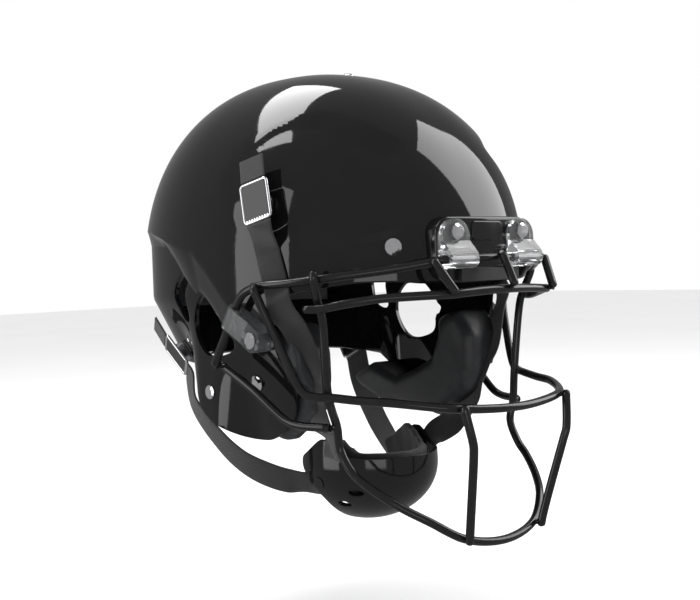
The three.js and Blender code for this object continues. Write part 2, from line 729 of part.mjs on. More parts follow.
// Side clips: each wraps the side loop of the brow bar and runs forward to a screw.
// The clip, its screw and the loop leave the shell together when the mask swings.
const sideNutPockets = [];
const loopAlong = loopEnd.clone().sub(loopBend).normalize();
const clipSeat = loopBend.clone().lerp(loopEnd, clipSeatShare);
const clipForward = new THREE.Vector3(1, 0, 0).cross(loopAlong).normalize();
if (clipForward.y > 0) clipForward.negate();
const clipScrewPoint = clipSeat.clone().addScaledVector(clipForward, sideClipReach);
const dropToward = new THREE.Vector3(0, clipForward.y, clipForward.z);

for (const [side, sign] of sides) {
  const outward = new THREE.Vector3(sign, 0, 0);
  const place = sign < 0 ? mirrored(clipSeat) : clipSeat;
  const basis = new THREE.Matrix4().makeBasis(dropToward, outward, dropToward.clone().cross(outward));
  basis.setPosition(place);
  const tip = sideClipReach + sideClipWidth / 2;
  const outer = wireRadius + clearance + clipThickness / 2;
  const clipStep = outer * clipStepShare;
  const strapOutline = [
    new THREE.Vector2(0, -cutOverrun / 2), new THREE.Vector2(tip, -cutOverrun / 2),
    new THREE.Vector2(tip, clipStep), new THREE.Vector2(tip / 2, clipStep), new THREE.Vector2(0, outer),
  ];
  const body = extruded(new THREE.Shape(strapOutline), sideClipWidth)
    .translate(0, 0, -sideClipWidth / 2)
    .applyMatrix4(basis);
  const capsule = roundedRectangle(2 * tip, sideClipWidth, sideClipWidth * endRoundShare).getPoints(6);
  const capsulePrism = extruded(new THREE.Shape(capsule), 2 * cutOverrun)
    .rotateX(Math.PI / 2)
    .translate(0, cutOverrun, 0)
    .applyMatrix4(basis);
  const along = sign < 0 ? mirrored(loopAlong) : loopAlong;
  const ringStart = place.clone().addScaledVector(along, -sideClipWidth / 2);
  const ring = solid(turned(disc(outer, 0, sideClipWidth), ringStart, along));
  const bore = solid(turned(disc(wireRadius + clearance, -cutOverrun, 2 * cutOverrun), ringStart, along));
  const screwPlace = sign < 0 ? mirrored(clipScrewPoint) : clipScrewPoint;
  const headStart = screwPlace.clone().setX(sign * (clipSeat.x + clipStep + clearance));
  const shankHole = solid(turned(
    disc(screwShankDiameter / 2 + clearance, -2 * cutOverrun, cutOverrun), headStart, outward,
  ));
  const clipBody = joined(solid(body).intersect(solid(capsulePrism)), ring);
  add(`side_clip_${side}`, cut(clipBody, grownForm, bore, shankHole), smoky);
  const surface = domeWidth(-screwPlace.y, screwPlace.z, 0);
  const shank = Math.abs(headStart.x) - surface - clearance;
  const screw = turned(screwProfile(shank), headStart, outward);
  add(`side_clip_screw_${side}`, solid(screw).subtract(grownForm), chrome);
  const wallInside = domeWidth(-screwPlace.y, screwPlace.z, shellWall);
  const nutStart = screwPlace.clone().setX(sign * (wallInside - nutHeight - clearance));
  const nut = solid(turned(disc(nutDiameter / 2, 0, cutOverrun), nutStart, outward));
  const thread = solid(turned(disc(screwShankDiameter / 2, -cutOverrun, cutOverrun), nutStart, outward));
  add(`side_clip_nut_${side}`, nut.intersect(liningSpace).subtract(thread), chrome);
  sideNutPockets.push(solid(turned(disc(nutDiameter, -nutHeight, cutOverrun), nutStart, outward)));
}

// Half width of the dome at a forward reach and a height
function domeWidth(reach, height, inset) {
  const level = Math.min(1, Math.max(0, height) / (crownHeight - inset));
  const ring = (1 - level ** domePower) ** (1 / domePower);
  const front = reach >= 0;
  const share = Math.abs(reach) / (((front ? frontReach : rearReach) - inset) * ring);
  const power = front ? frontPower : rearPower;
  return (shellHalfWidth - inset) * ring * Math.max(0, 1 - share ** power) ** (1 / power);
}

// Plain fasteners that sit on the shell
function fastener(frame, headRadius, headHeight) {
  const start = alongFrame(frame, clearance);
  return turned([
    [0, 0], [headRadius, 0], [headRadius, headHeight / 2], [headRadius * headCrownShare, headHeight],
    [0, headHeight],
  ], start, frame.normal);
}

const frameOnSide = (sign, frame) => (sign < 0 ? mirroredFrame(frame) : frame);
for (const [side, sign] of sides) {
  const screw = (frame) => fastener(frameOnSide(sign, frame), screwHeadDiameter / 2, screwHeadHeight);
  add(`temple_screw_${side}`, screw(templeFrame), chrome);
  add(`jaw_screw_${side}`, solid(screw(jawScrewFrame)).subtract(grownForm), chrome);
  const rivetFrame = frameOnSide(sign, jawRivetFrame);
  add(`jaw_rivet_${side}`, fastener(rivetFrame, washerDiameter / 2, washerHeight), chrome);
}
add('crown_rivet', fastener(crownFrame, crownRivetDiameter / 2, washerHeight), chrome);

// Snap posts, buckles and the snap bodies that hold the buckles on them
const snapPlaces = [
  ['upper', upperSnapFrame, at(0.865, 0.359, 0.532)],
  ['rear', rearSnapFrame, at(0.73, -0.617, -0.177)],
];
const snaps = {};

for (const [row, frame, toward] of snapPlaces) {
  for (const [side, sign] of sides) {
    const place = frameOnSide(sign, frame);
    const goal = sign < 0 ? mirrored(toward) : toward;
    const up = goal.clone().sub(place.point);
    up.addScaledVector(place.normal, -up.dot(place.normal)).normalize();
    const across = up.clone().cross(place.normal);
    const basis = new THREE.Matrix4().makeBasis(across, up, place.normal);
    basis.setPosition(alongFrame(place, buckleLift));
    snaps[`${row}_${side}`] = { place, up, across, basis };
    const post = turned([
      [0, clearance], [postBaseDiameter / 2, clearance], [postBaseDiameter / 2, postBaseHeight],
      [studDiameter / 2, postBaseHeight], [studDiameter / 2, studHeight], [0, studHeight],
    ], place.point, place.normal);
    add(`${row}_snap_post_${side}`, solid(post).subtract(grownForm), chrome);
    const opening = { width: buckleWidth - 2 * buckleRod, length: buckleLength - 2 * buckleRod };
    const frameShape = roundedRectangle(buckleWidth, buckleLength, buckleCornerRadius);
    frameShape.holes.push(roundedRectangle(opening.width, opening.length, buckleCornerRadius - buckleRod));
    const ring = extruded(frameShape, buckleRod).applyMatrix4(basis);
    const plateLength = buckleLength - buckleRod;
    const plateShape = roundedRectangle(buckleWidth - buckleRod, plateLength, buckleCornerRadius);
    const plate = extruded(plateShape, snapPlateThickness).applyMatrix4(basis);
    const socketFoot = postBaseHeight + clearance;
    const socketProfile = disc(socketDiameter / 2, socketFoot, buckleLift + clearance);
    const socket = turned(socketProfile, place.point, place.normal);
    const socketBore = turned(
      disc(studDiameter / 2 + clearance, -cutOverrun, studHeight + clearance), place.point, place.normal,
    );
    const body = joined(solid(ring), solid(plate), solid(socket));
    add(`${row}_buckle_${side}`, body.subtract(solid(socketBore)), chrome);
  }
}

// A flat strap through points, each with the direction that its face looks in.
// A strap grown all round is the channel that it runs in.
function ribbon(points, faces, fromShare = 0, toShare = 1, grow = 0) {
  const centre = new THREE.CatmullRomCurve3(points, false, 'centripetal');
  const facing = new THREE.CatmullRomCurve3(faces, false, 'centripetal');
  const rings = [];
  for (let i = 0; i <= strapSteps; i += 1) {
    const share = THREE.MathUtils.lerp(fromShare, toShare, i / strapSteps);
    const point = centre.getPoint(share);
    const tangent = centre.getTangent(share);
    const normal = facing.getPoint(share);
    normal.addScaledVector(tangent, -normal.dot(tangent)).normalize();
    const across = tangent.clone().cross(normal).multiplyScalar(strapWidth / 2 + grow);
    const rise = normal.multiplyScalar(strapThickness / 2 + grow);
    rings.push([[-1, -1], [1, -1], [1, 1], [-1, 1]].map(([u, v]) => (
      point.clone().addScaledVector(across, u).addScaledVector(rise, v)
    )));
  }
  const corners = rings.flat();
  const faceList = [0, 2, 1, 0, 3, 2];
  for (let i = 0; i < strapSteps; i += 1) {
    for (let k = 0; k < 4; k += 1) {
      const a = i * 4 + k;
      const b = i * 4 + ((k + 1) % 4);
      faceList.push(a, b, b + 4, a, b + 4, a + 4);
    }
  }
  const end = strapSteps * 4;
  faceList.push(end, end + 1, end + 2, end, end + 2, end + 3);
  const geometry = new THREE.BufferGeometry().setFromPoints(corners);
  geometry.setIndex(faceList);
  return geometry;
}

// A point on the dome, lifted by half a strap and the clearance, with its facing
function onDome(f, z, lift) {
  const reach = forward(f);
  const height = upward(z);
  const step = shellHalfWidth / 1000;
  const width = domeWidth(reach, height, 0);
  const alongReach = (domeWidth(reach + step, height, 0) - width) / step;
  const alongHeight = height > 0 ? (domeWidth(reach, height + step, 0) - width) / step : 0;
  const normal = new THREE.Vector3(1, alongReach, -alongHeight).normalize();
  const point = new THREE.Vector3(width, -reach, height).addScaledVector(normal, lift);
  return [point, normal];
}

const strapLift = strapThickness / 2 + clearance;
const outwardFace = (x, f, z) => new THREE.Vector3(x, -f, z).normalize();

// Cup form: a rounded bowl under the chin
const cupCentre = at(0, 0.281, -1.2035);

// The cup's girth at a share of its depth: a bowl below its centre, leaning in above it
const cupGirth = (z) => (z < 0 ? Math.sqrt(Math.max(0, 1 - z * z)) : 1 - cupLeanShare * z * z);

function cupForm(inset) {
  const rows = [];
  for (let row = 1; row < cupRows; row += 1) {
    const level = Math.cos((row / cupRows) * Math.PI);
    const girth = cupGirth(level);
    rows.push(Array.from({ length: cupColumns }, (_, i) => {
      const angle = (i * 2 * Math.PI) / cupColumns;
      return new THREE.Vector3(
        cupCentre.x + (cupHalfWidth - inset) * girth * Math.cos(angle),
        cupCentre.y - (cupReach - inset) * girth * Math.sin(angle),
        cupCentre.z + (cupDepth - inset) * level,
      );
    }));
  }
  const top = cupCentre.clone().add(new THREE.Vector3(0, 0, cupDepth - inset));
  const bottom = cupCentre.clone().add(new THREE.Vector3(0, 0, inset - cupDepth));
  return solid(rowsSolid(top, rows, bottom));
}

// A point on the cup's outside by shares of its reach and depth, with its facing
function onCup(f, z, lift) {
  const x = Math.sqrt(Math.max(0, cupGirth(z) ** 2 - f * f));
  const normal = new THREE.Vector3(x / cupHalfWidth, -f / cupReach, Math.min(0, z) / cupDepth).normalize();
  const point = new THREE.Vector3(x * cupHalfWidth, -f * cupReach, z * cupDepth).add(cupCentre);
  return [point.addScaledVector(normal, lift), normal];
}

// The cup's kept side outline in shares of its reach and depth from its centre
const cupShares = [
  [1.3, 0.2], [0.5, 0.23], [0.38, 0.34], [0.2, 0.52], [0.1, 0.56], [0, 0.5], [-0.2, 0.3], [-0.36, 0.18],
  [-0.36, 0.02], [-0.28, -0.12], [-0.14, -0.36], [0, -0.56], [0.03, -1.3], [1.3, -1.3],
];
const cupPoint = ([f, z]) => new THREE.Vector2(f * cupReach - cupCentre.y, z * cupDepth + cupCentre.z);
const cupOutline = cupShares.map(cupPoint);
const cupReachAcross = cupHalfWidth + cutOverrun;
const cupPrism = solid(sidePrism(cupOutline, -cupReachAcross, cupReachAcross));
const cupSlotShares = [[0.51, -0.38], [0.27, -0.6]];
const cupSlots = cupSlotShares.map(cupPoint).map(({ x, y }) => solid(sidePrism([
  new THREE.Vector2(x - cupSlotLength / 2, y - cupSlotHeight / 2),
  new THREE.Vector2(x + cupSlotLength / 2, y - cupSlotHeight / 2),
  new THREE.Vector2(x + cupSlotLength / 2, y + cupSlotHeight / 2),
  new THREE.Vector2(x - cupSlotLength / 2, y + cupSlotHeight / 2),
], -cupReachAcross, cupReachAcross)));
add('chin_cup', cut(cupForm(0).intersect(cupPrism), cupForm(cupWall), ...cupSlots), gloss);
const padForm = cupForm(cupWall + clearance).subtract(cupForm(cupWall + clearance + cupPadThickness));
const padPrism = solid(sidePrism(cupOutline, -cupReachAcross, cupReachAcross).translate(0, 0, cupPadRise));
add('chin_pad', cut(padForm.intersect(padPrism), ...cupSlots), fabric);

const rearCupStops = [[-0.2, -0.28], [0, -0.24], [0.2, -0.2]].map(([f, z]) => onCup(f, z, strapLift));
for (const [side, sign] of sides) {
  const [stop, face] = rearCupStops[1];
  const { point, normal } = frameOnSide(sign, { point: stop, normal: face });
  const start = point.clone().addScaledVector(normal, strapThickness / 2 + clearance);
  add(`chin_rivet_${side}`, turned(disc(rivetDiameter / 2, 0, rivetHeight), start, normal), chrome);
}

// Straps: a root piece from the buckle to a seam, the drop from the seam to the cup, and the loose tail
const bucklePoint = (snap, along, lift) => (
  new THREE.Vector3(0, along, lift).applyMatrix4(snap.basis)
);
const halfBuckle = buckleLength / 2 + 2 * clearance;

const strapRunShares = [[0.455, 0.13], [0.47, 0.07], [0.483, 0.02], [0.492, -0.03], [0.5, -0.085]];
const strapChannels = {};

// How far out the strap runs at a share of the jaw pad's thickness from the lower wall
const inPad = (share) => lowerHalfWidth - share * jawPadThickness;

for (const [side, sign] of sides) {
  const flip = (point) => (sign < 0 ? mirrored(point) : point.clone());
  const upper = snaps[`upper_${side}`];
  const start = bucklePoint(upper, -halfBuckle, buckleRod / 2);
  const second = bucklePoint(upper, -halfBuckle - buckleRod, buckleRod / 2);
  const stops = [
    ...strapRunShares.map(([f, z]) => onDome(f, z, strapLift + clearance / 2)),
    [onDome(0.514, -0.14, 4 * strapLift)[0], outwardFace(0.93, 0.33, -0.05)],
    [onDome(0.527, -0.2, 2.3 * strapLift)[0], outwardFace(0.92, 0.36, -0.1)],
    [at(0.856, 0.541, -0.295), outwardFace(0.93, 0.33, -0.1)],
    [at(0, 0.553, -0.48).setX(inPad(0.306)), outwardFace(0.93, 0.33, 0.05)],
    [at(0, 0.52, -0.6).setX(inPad(0.471)), outwardFace(0.93, 0.3, 0.1)],
    [at(0, 0.495, -0.72).setX(inPad(0.583)), outwardFace(0.93, 0.25, 0.15)],
    [at(0, 0.495, -0.85).setX(inPad(0.756)), outwardFace(0.92, 0.2, 0.2)],
    [at(0, 0.465, -0.985).setX(inPad(1.156)), outwardFace(0.88, 0.2, 0.3)],
    [at(0, 0.4, -1.08).setX(cupHalfWidth + strapFlare), outwardFace(0.92, 0.2, 0.2)],
    onCup(0.3, 0.16, strapLift),
  ];
  const points = [start, second, ...stops.map(([point]) => flip(point))];
  const faces = [upper.place.normal, upper.place.normal, ...stops.map(([, face]) => flip(face))];
  const seamStretch = Math.floor(seamShare * (points.length - 1));
  const stretch = points[seamStretch].distanceTo(points[seamStretch + 1]);
  const gap = clearance / (stretch * (points.length - 1));
  add(`upper_strap_${side}`, ribbon(points, faces, 0, seamShare), fabric);
  add(`upper_strap_drop_${side}`, ribbon(points, faces, seamShare + gap, 1), fabric);
  strapChannels[side] = joined(
    solid(ribbon(points, faces, 0, seamShare, 2 * clearance)),
    solid(ribbon(points, faces, seamShare, 1, 2 * clearance)),
  );

  const rear = snaps[`rear_${side}`];
  const sag = [
    [at(0.725, -0.335, -0.8), outwardFace(0.93, -0.35, -0.1)],
    [at(0.669, -0.175, -1.047), outwardFace(0.96, -0.2, -0.1)],
    [at(0.619, -0.045, -1.175), outwardFace(0.97, -0.1, -0.1)],
    [at(0.55, 0.067, -1.25), outwardFace(0.98, 0, -0.05)],
    [at(0.475, 0.15, -1.29), outwardFace(0.98, -0.1, -0.1)],
    ...rearCupStops,
  ];
  const rearPoints = [
    bucklePoint(rear, -halfBuckle, buckleRod / 2),
    bucklePoint(rear, -halfBuckle - buckleRod, buckleRod / 2),
    ...sag.map(([point]) => flip(point)),
  ];
  const rearFaces = [rear.place.normal, rear.place.normal, ...sag.map(([, face]) => flip(face))];
  add(`rear_strap_${side}`, ribbon(rearPoints, rearFaces), fabric);

  for (const [row, snap] of [['upper', upper], ['rear', rear]]) {
    const tailPoints = [0, 0.5, 1].map((share) => (
      bucklePoint(snap, halfBuckle + share * tailLength, buckleRod / 2 - share * strapThickness)
    ));
    const tailFaces = tailPoints.map(() => snap.place.normal);
    add(`${row}_strap_tail_${side}`, ribbon(tailPoints, tailFaces), fabric);
  }
}

// Pads that line the shell, each a closed cushion with its outer face on the shell's inside
function sectorPrism(fromDegrees, toDegrees, low, high) {
  const reach = 2 * frontReach;
  const turn = THREE.MathUtils.DEG2RAD;
  const rim = Array.from({ length: sectorSteps + 1 }, (_, i) => {
    const angle = THREE.MathUtils.lerp(fromDegrees, toDegrees, i / sectorSteps) * turn;
    return new THREE.Vector2(Math.cos(angle) * reach, Math.sin(angle) * reach);
  });
  return solid(planPrism([new THREE.Vector2(), ...rim], low, high));
}

function liningPad(name, thickness, prism, ...pockets) {
  const inside = plainDome(shellWall + clearance + thickness);
  const body = liningSpace.intersect(prism).subtract(inside);
  add(name, cut(body, ...pockets), fabric);
}

const browSector = sectorPrism(52, 128, upward(-0.035), upward(0.305));
liningPad('brow_pad', browPadThickness, browSector, ...frontNutPockets);
liningPad('side_pad_left', sidePadThickness, sectorPrism(-34, 42, upward(0.25), upward(0.58)));
liningPad('side_pad_right', sidePadThickness, sectorPrism(138, 214, upward(0.25), upward(0.58)));
liningPad('rear_pad', rearPadThickness, sectorPrism(-136, -44, upward(-0.22), upward(0.46)));
const crownCylinder = turned(
  disc(crownPadRadius, seatHeight, crownHeight + cutOverrun),
  new THREE.Vector3(),
  new THREE.Vector3(0, 0, 1),
  crownSides,
);
add('crown_pad', solid(crownCylinder).intersect(liningSpace), fabric);

const jawPadShares = [
  [-0.33, -0.745], [-0.138, -0.631], [0.052, -0.73], [0.265, -0.57], [0.32, -0.4], [0.33, -0.3],
  [0.4, -0.262], [0.48, -0.25], [0.56, -0.42], [0.56, -0.62], [0.53, -0.8], [0.43, -0.91], [0.34, -1],
  [0.28, -0.985], [0.02, -0.915], [-0.09, -0.925], [-0.28, -0.82],
];
const jawPadOuter = lowerHalfWidth + jawPadBevel;
const jawPadInner = lowerHalfWidth - shellWall - jawPadThickness;
const jawPadSlab = new THREE.ExtrudeGeometry(new THREE.Shape(sidePoints(jawPadShares)), {
  depth: jawPadOuter - jawPadInner - jawPadBevel,
  bevelEnabled: true,
  bevelThickness: jawPadBevel,
  bevelSize: jawPadBevel,
  bevelOffset: -jawPadBevel,
  bevelSegments: 1,
});

// Its rear face slants from the flap's rear edge at the wall toward the inside
const jawPadSlant = [
  new THREE.Vector2(jawPadInner - jawPadBevel, -jawPadRearReach - jawPadThickness - jawPadBevel),
  new THREE.Vector2(jawPadOuter, -jawPadRearReach),
  new THREE.Vector2(jawPadOuter, frontReach),
  new THREE.Vector2(jawPadInner - jawPadBevel, frontReach),
];

for (const [side, sign] of sides) {
  const turn = new THREE.Matrix4().makeBasis(
    new THREE.Vector3(0, -1, 0),
    new THREE.Vector3(0, 0, 1),
    new THREE.Vector3(-1, 0, 0),
  );
  const placed = jawPadSlab.clone().applyMatrix4(turn);
  placed.translate(sign < 0 ? -jawPadInner - jawPadBevel : jawPadOuter, 0, 0);
  const slant = jawPadSlant.map((point) => new THREE.Vector2(sign * point.x, point.y));
  const body = solid(placed)
    .intersect(solid(planPrism(slant, -2 * jawDrop, crownHeight)))
    .intersect(liningSpace);
  add(`jaw_pad_${side}`, cut(body, strapChannels[side], ...sideNutPockets), fabric);
}

// The shell last, when the holes that its fasteners need are known
const keptPrism = solid(sidePrism(sidePoints(keptShares), -2 * shellHalfWidth, 2 * shellHalfWidth));
const across = shellHalfWidth + cutOverrun;
const holes = [earShares, ventShares].map((shares) => {
  const outline = smoothOutline(sidePoints(shares));
  return joined(
    solid(sidePrism(outline, -across, -shellHalfWidth / 2)),
    solid(sidePrism(outline, shellHalfWidth / 2, across)),
  );
});
const shellBody = outerSolid.subtract(hollow).intersect(keptPrism);
add('shell', cut(shellBody, ...holes, ...frontShanks), gloss);

export default group;
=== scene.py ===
import math

import bpy
import numpy as np
from mathutils import Matrix, Vector


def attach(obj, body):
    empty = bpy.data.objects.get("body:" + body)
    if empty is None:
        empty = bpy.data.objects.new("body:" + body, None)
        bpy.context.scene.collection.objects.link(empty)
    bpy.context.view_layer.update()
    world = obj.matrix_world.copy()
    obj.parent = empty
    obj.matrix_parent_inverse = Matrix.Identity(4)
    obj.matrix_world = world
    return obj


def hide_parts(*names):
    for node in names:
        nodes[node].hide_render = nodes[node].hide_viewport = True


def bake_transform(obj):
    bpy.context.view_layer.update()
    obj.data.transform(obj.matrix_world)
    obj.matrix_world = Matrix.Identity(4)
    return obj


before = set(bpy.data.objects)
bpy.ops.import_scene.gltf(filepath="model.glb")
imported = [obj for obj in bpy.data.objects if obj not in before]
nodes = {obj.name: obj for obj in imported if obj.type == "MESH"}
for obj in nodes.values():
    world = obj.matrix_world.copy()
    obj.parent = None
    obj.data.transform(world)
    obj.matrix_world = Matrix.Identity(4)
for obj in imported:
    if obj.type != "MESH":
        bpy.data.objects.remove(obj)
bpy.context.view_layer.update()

sides = {"right": -1, "left": 1}

# Lengths below are in millimetres in the shell's frame, whose zero height is the seat height above the row's
# origin, and x is across, y rearward, z up. rowPoints turns them into metres in the row's frame.
seatHeight = 120
shellShape = {
    "halfWidth": 118, "frontReach": 163.7, "rearReach": 142.6, "height": 147.6, "drop": 113, "wall": 3.5,
    "domePower": 2.22, "frontPower": 2.4, "rearPower": 2.16,
    "lowerHalfWidth": 103, "lowerFrontReach": 165, "lowerRearReach": 135, "lowerFrontPower": 3,
    "lowerRearPower": 2.65, "chamferInset": 8, "undercut": 2.5, "napeCrease": 14, "napeCurl": 0.5,
    "jawTuckDrop": 40, "jawTuck": 0.2, "recessDepth": 5, "overrun": 4,
}
wireDiameter = 5.7
strapWidth = 19
strapThickness = 1.5
clearance = 0.3


def rowPoints(points):
    return (np.asarray(points, float) - (0, 0, seatHeight)) / 1000


def at(x, f, z):
    s = shellShape
    reach = f * (s["rearReach"] if f < 0 else s["frontReach"])
    height = z * (s["drop"] if z < 0 else s["height"])
    return np.array([x * s["halfWidth"], -reach, height])


def sidePlaces(shares):
    return np.array([[-at(0, f, z)[1], at(0, f, z)[2]] for f, z in shares])


def mirroredX(points):
    return np.asarray(points, float) * (-1, 1, 1)


def onSide(sign, points):
    return mirroredX(points) if sign < 0 else np.asarray(points, float)


def unit(v):
    v = np.asarray(v, float)
    return v / np.linalg.norm(v)


def smoothStep(x, low, high):
    t = np.clip((x - low) / (high - low), 0, 1)
    return t * t * (3 - 2 * t)


def linked(name, data):
    made = bpy.data.objects.new(name, data)
    bpy.context.scene.collection.objects.link(made)
    return made


def modify(piece, kind, **values):
    modifier = piece.modifiers.new(kind.lower(), kind)
    for key, value in values.items():
        setattr(modifier, key, value)
    return modifier


# Camera at the photograph's viewing angle, in metres
view = {
    "at": (-0.6251, -0.70776, -0.1095), "right": (0.7322, -0.6802, -0.0346),
    "back": (-0.6795, -0.7330, 0.0321), "lens": 64.286, "sensor": 36,
}
cameraRight = Vector(view["right"]).normalized()
cameraBack = Vector(view["back"]).normalized()
cameraUp = cameraBack.cross(cameraRight).normalized()
cameraTurn = Matrix((cameraRight, cameraUp, cameraBack)).transposed().to_4x4()
cameraData = bpy.data.cameras.new("camera")
cameraData.lens = view["lens"]
cameraData.sensor_width = view["sensor"]
camera = linked("camera", cameraData)
camera.matrix_world = Matrix.Translation(Vector(view["at"])) @ cameraTurn
bpy.context.scene.camera = camera
bpy.context.scene.view_settings.view_transform = "Standard"


# Materials: one principled shader each, with noise on its colour, its roughness and its bump.
# noiseSpan is where most values of the noise lie.
noiseSpan = (0.3, 0.7)


def nodeTree(name):
    material = bpy.data.materials.new(name)
    material.use_nodes = True
    tree = material.node_tree
    shader = next(n for n in tree.nodes if n.type == "BSDF_PRINCIPLED")
    return material, tree, shader


def addNode(tree, kind, **values):
    node = tree.nodes.new(kind)
    for key, value in values.items():
        if key in node.inputs:
            node.inputs[key].default_value = value
        else:
            setattr(node, key, value)
    return node


def surface(name, colour, rough, roughSpread=0.0, grain=300, bump=0.0, bumpScale=900, metallic=0.0,
            transmission=0.0, ior=1.5, sheen=0.0, colourSpread=0.0):
    material, tree, shader = nodeTree(name)
    shader.inputs["Metallic"].default_value = metallic
    shader.inputs["Transmission Weight"].default_value = transmission
    shader.inputs["IOR"].default_value = ior
    shader.inputs["Sheen Weight"].default_value = sheen
    place = addNode(tree, "ShaderNodeTexCoord")
    noise = addNode(tree, "ShaderNodeTexNoise", Scale=grain, Detail=3.0)
    tree.links.new(place.outputs["Object"], noise.inputs["Vector"])
    roughRange = addNode(tree, "ShaderNodeMapRange")
    roughRange.inputs["From Min"].default_value = noiseSpan[0]
    roughRange.inputs["From Max"].default_value = noiseSpan[1]
    roughRange.inputs["To Min"].default_value = rough - roughSpread / 2
    roughRange.inputs["To Max"].default_value = rough + roughSpread / 2
    tree.links.new(noise.outputs["Fac"], roughRange.inputs["Value"])
    tree.links.new(roughRange.outputs["Result"], shader.inputs["Roughness"])
    ramp = addNode(tree, "ShaderNodeValToRGB")
    dark = [max(0.0, c * (1 - colourSpread)) for c in colour]
    light = [min(1.0, c * (1 + colourSpread)) for c in colour]
    ramp.color_ramp.elements[0].position = noiseSpan[0]
    ramp.color_ramp.elements[0].color = (*dark, 1)
    ramp.color_ramp.elements[1].position = noiseSpan[1]
    ramp.color_ramp.elements[1].color = (*light, 1)
    tree.links.new(noise.outputs["Fac"], ramp.inputs["Fac"])
    tree.links.new(ramp.outputs["Color"], shader.inputs["Base Color"])
    if bump:
        fine = addNode(tree, "ShaderNodeTexNoise", Scale=bumpScale, Detail=2.0)
        tree.links.new(place.outputs["Object"], fine.inputs["Vector"])
        relief = addNode(tree, "ShaderNodeBump", Strength=bump, Distance=0.0004)
        tree.links.new(fine.outputs["Fac"], relief.inputs["Height"])
        tree.links.new(relief.outputs["Normal"], shader.inputs["Normal"])
    return material


# Webbing: ribs across the strap and diagonal yarns, from the strap's own coordinates in millimetres
weave = {
    "ribs": {"Scale": 0.55, "Distortion": 0.4, "Detail": 1.0},
    "yarn": {"Scale": 0.42, "Distortion": 0.6, "Detail": 1.0},
    "relief": {"Strength": 0.7, "Distance": 0.0003}, "shade": (0.5, 1.4), "rough": (0.5, 0.75),
    "sheen": 0.25, "sheenRough": 0.5,
}


def webbing(name, colour):
    material, tree, shader = nodeTree(name)
    shader.inputs["Sheen Weight"].default_value = weave["sheen"]
    shader.inputs["Sheen Roughness"].default_value = weave["sheenRough"]
    uv = addNode(tree, "ShaderNodeUVMap", uv_map="strapUv")
    parts = addNode(tree, "ShaderNodeSeparateXYZ")
    tree.links.new(uv.outputs["UV"], parts.inputs["Vector"])
    ribs = addNode(tree, "ShaderNodeTexWave", **weave["ribs"])
    ribs.bands_direction = "Y"
    tree.links.new(uv.outputs["UV"], ribs.inputs["Vector"])
    yarn = addNode(tree, "ShaderNodeTexWave", **weave["yarn"])
    yarn.bands_direction = "DIAGONAL"
    tree.links.new(uv.outputs["UV"], yarn.inputs["Vector"])
    both = addNode(tree, "ShaderNodeMath", operation="ADD")
    tree.links.new(ribs.outputs["Fac"], both.inputs[0])
    tree.links.new(yarn.outputs["Fac"], both.inputs[1])
    ramp = addNode(tree, "ShaderNodeValToRGB")
    for element, shade in zip(ramp.color_ramp.elements, weave["shade"]):
        element.color = (*[c * shade for c in colour], 1)
    half = addNode(tree, "ShaderNodeMath", operation="MULTIPLY")
    half.inputs[1].default_value = 0.5
    tree.links.new(both.outputs[0], half.inputs[0])
    tree.links.new(half.outputs[0], ramp.inputs["Fac"])
    tree.links.new(ramp.outputs["Color"], shader.inputs["Base Color"])
    relief = addNode(tree, "ShaderNodeBump", **weave["relief"])
    tree.links.new(both.outputs[0], relief.inputs["Height"])
    tree.links.new(relief.outputs["Normal"], shader.inputs["Normal"])
    rough = addNode(tree, "ShaderNodeMapRange")
    rough.inputs["To Min"].default_value = weave["rough"][0]
    rough.inputs["To Max"].default_value = weave["rough"][1]
    tree.links.new(half.outputs[0], rough.inputs["Value"])
    tree.links.new(rough.outputs["Result"], shader.inputs["Roughness"])
    return material


looks = {
    "shell": surface("shellGloss", (0.0045, 0.0045, 0.005), 0.05, 0.03, 60, 0.02, 420, colourSpread=0.1),
    "plate": surface("plateGloss", (0.005, 0.005, 0.0055), 0.08, 0.04, 90, 0.03, 700, colourSpread=0.1),
    "bumper": surface("bumperRubber", (0.012, 0.012, 0.013), 0.42, 0.12, 200, 0.35, 1600, colourSpread=0.2),
    "wire": surface("wireCoat", (0.006, 0.006, 0.0065), 0.16, 0.08, 220, 0.12, 900, colourSpread=0.15),
    "chrome": surface("chromeBright", (0.86, 0.86, 0.88), 0.1, 0.08, 400, 0.03, 900, metallic=1.0,
                      colourSpread=0.05),
    "zinc": surface("zincPlate", (0.5, 0.5, 0.52), 0.3, 0.15, 400, 0.1, 900, metallic=1.0, colourSpread=0.12),
    "clear": surface("clearClip", (0.93, 0.94, 0.95), 0.05, 0.04, 200, 0.03, 500, transmission=0.95, ior=1.45,
                     colourSpread=0.03),
    "smoky": surface("smokyClip", (0.16, 0.165, 0.17), 0.12, 0.06, 200, 0.06, 500, transmission=0.75,
                     ior=1.45, colourSpread=0.1),
    "vinyl": surface("padVinyl", (0.02, 0.021, 0.023), 0.4, 0.12, 160, 0.3, 1400, colourSpread=0.2),
    "foam": surface("chinFoam", (0.014, 0.014, 0.015), 0.6, 0.12, 300, 0.5, 2200, sheen=0.2,
                    colourSpread=0.25),
    "webbing": webbing("strapWebbing", (0.011, 0.011, 0.012)),
}
print("stage: materials")


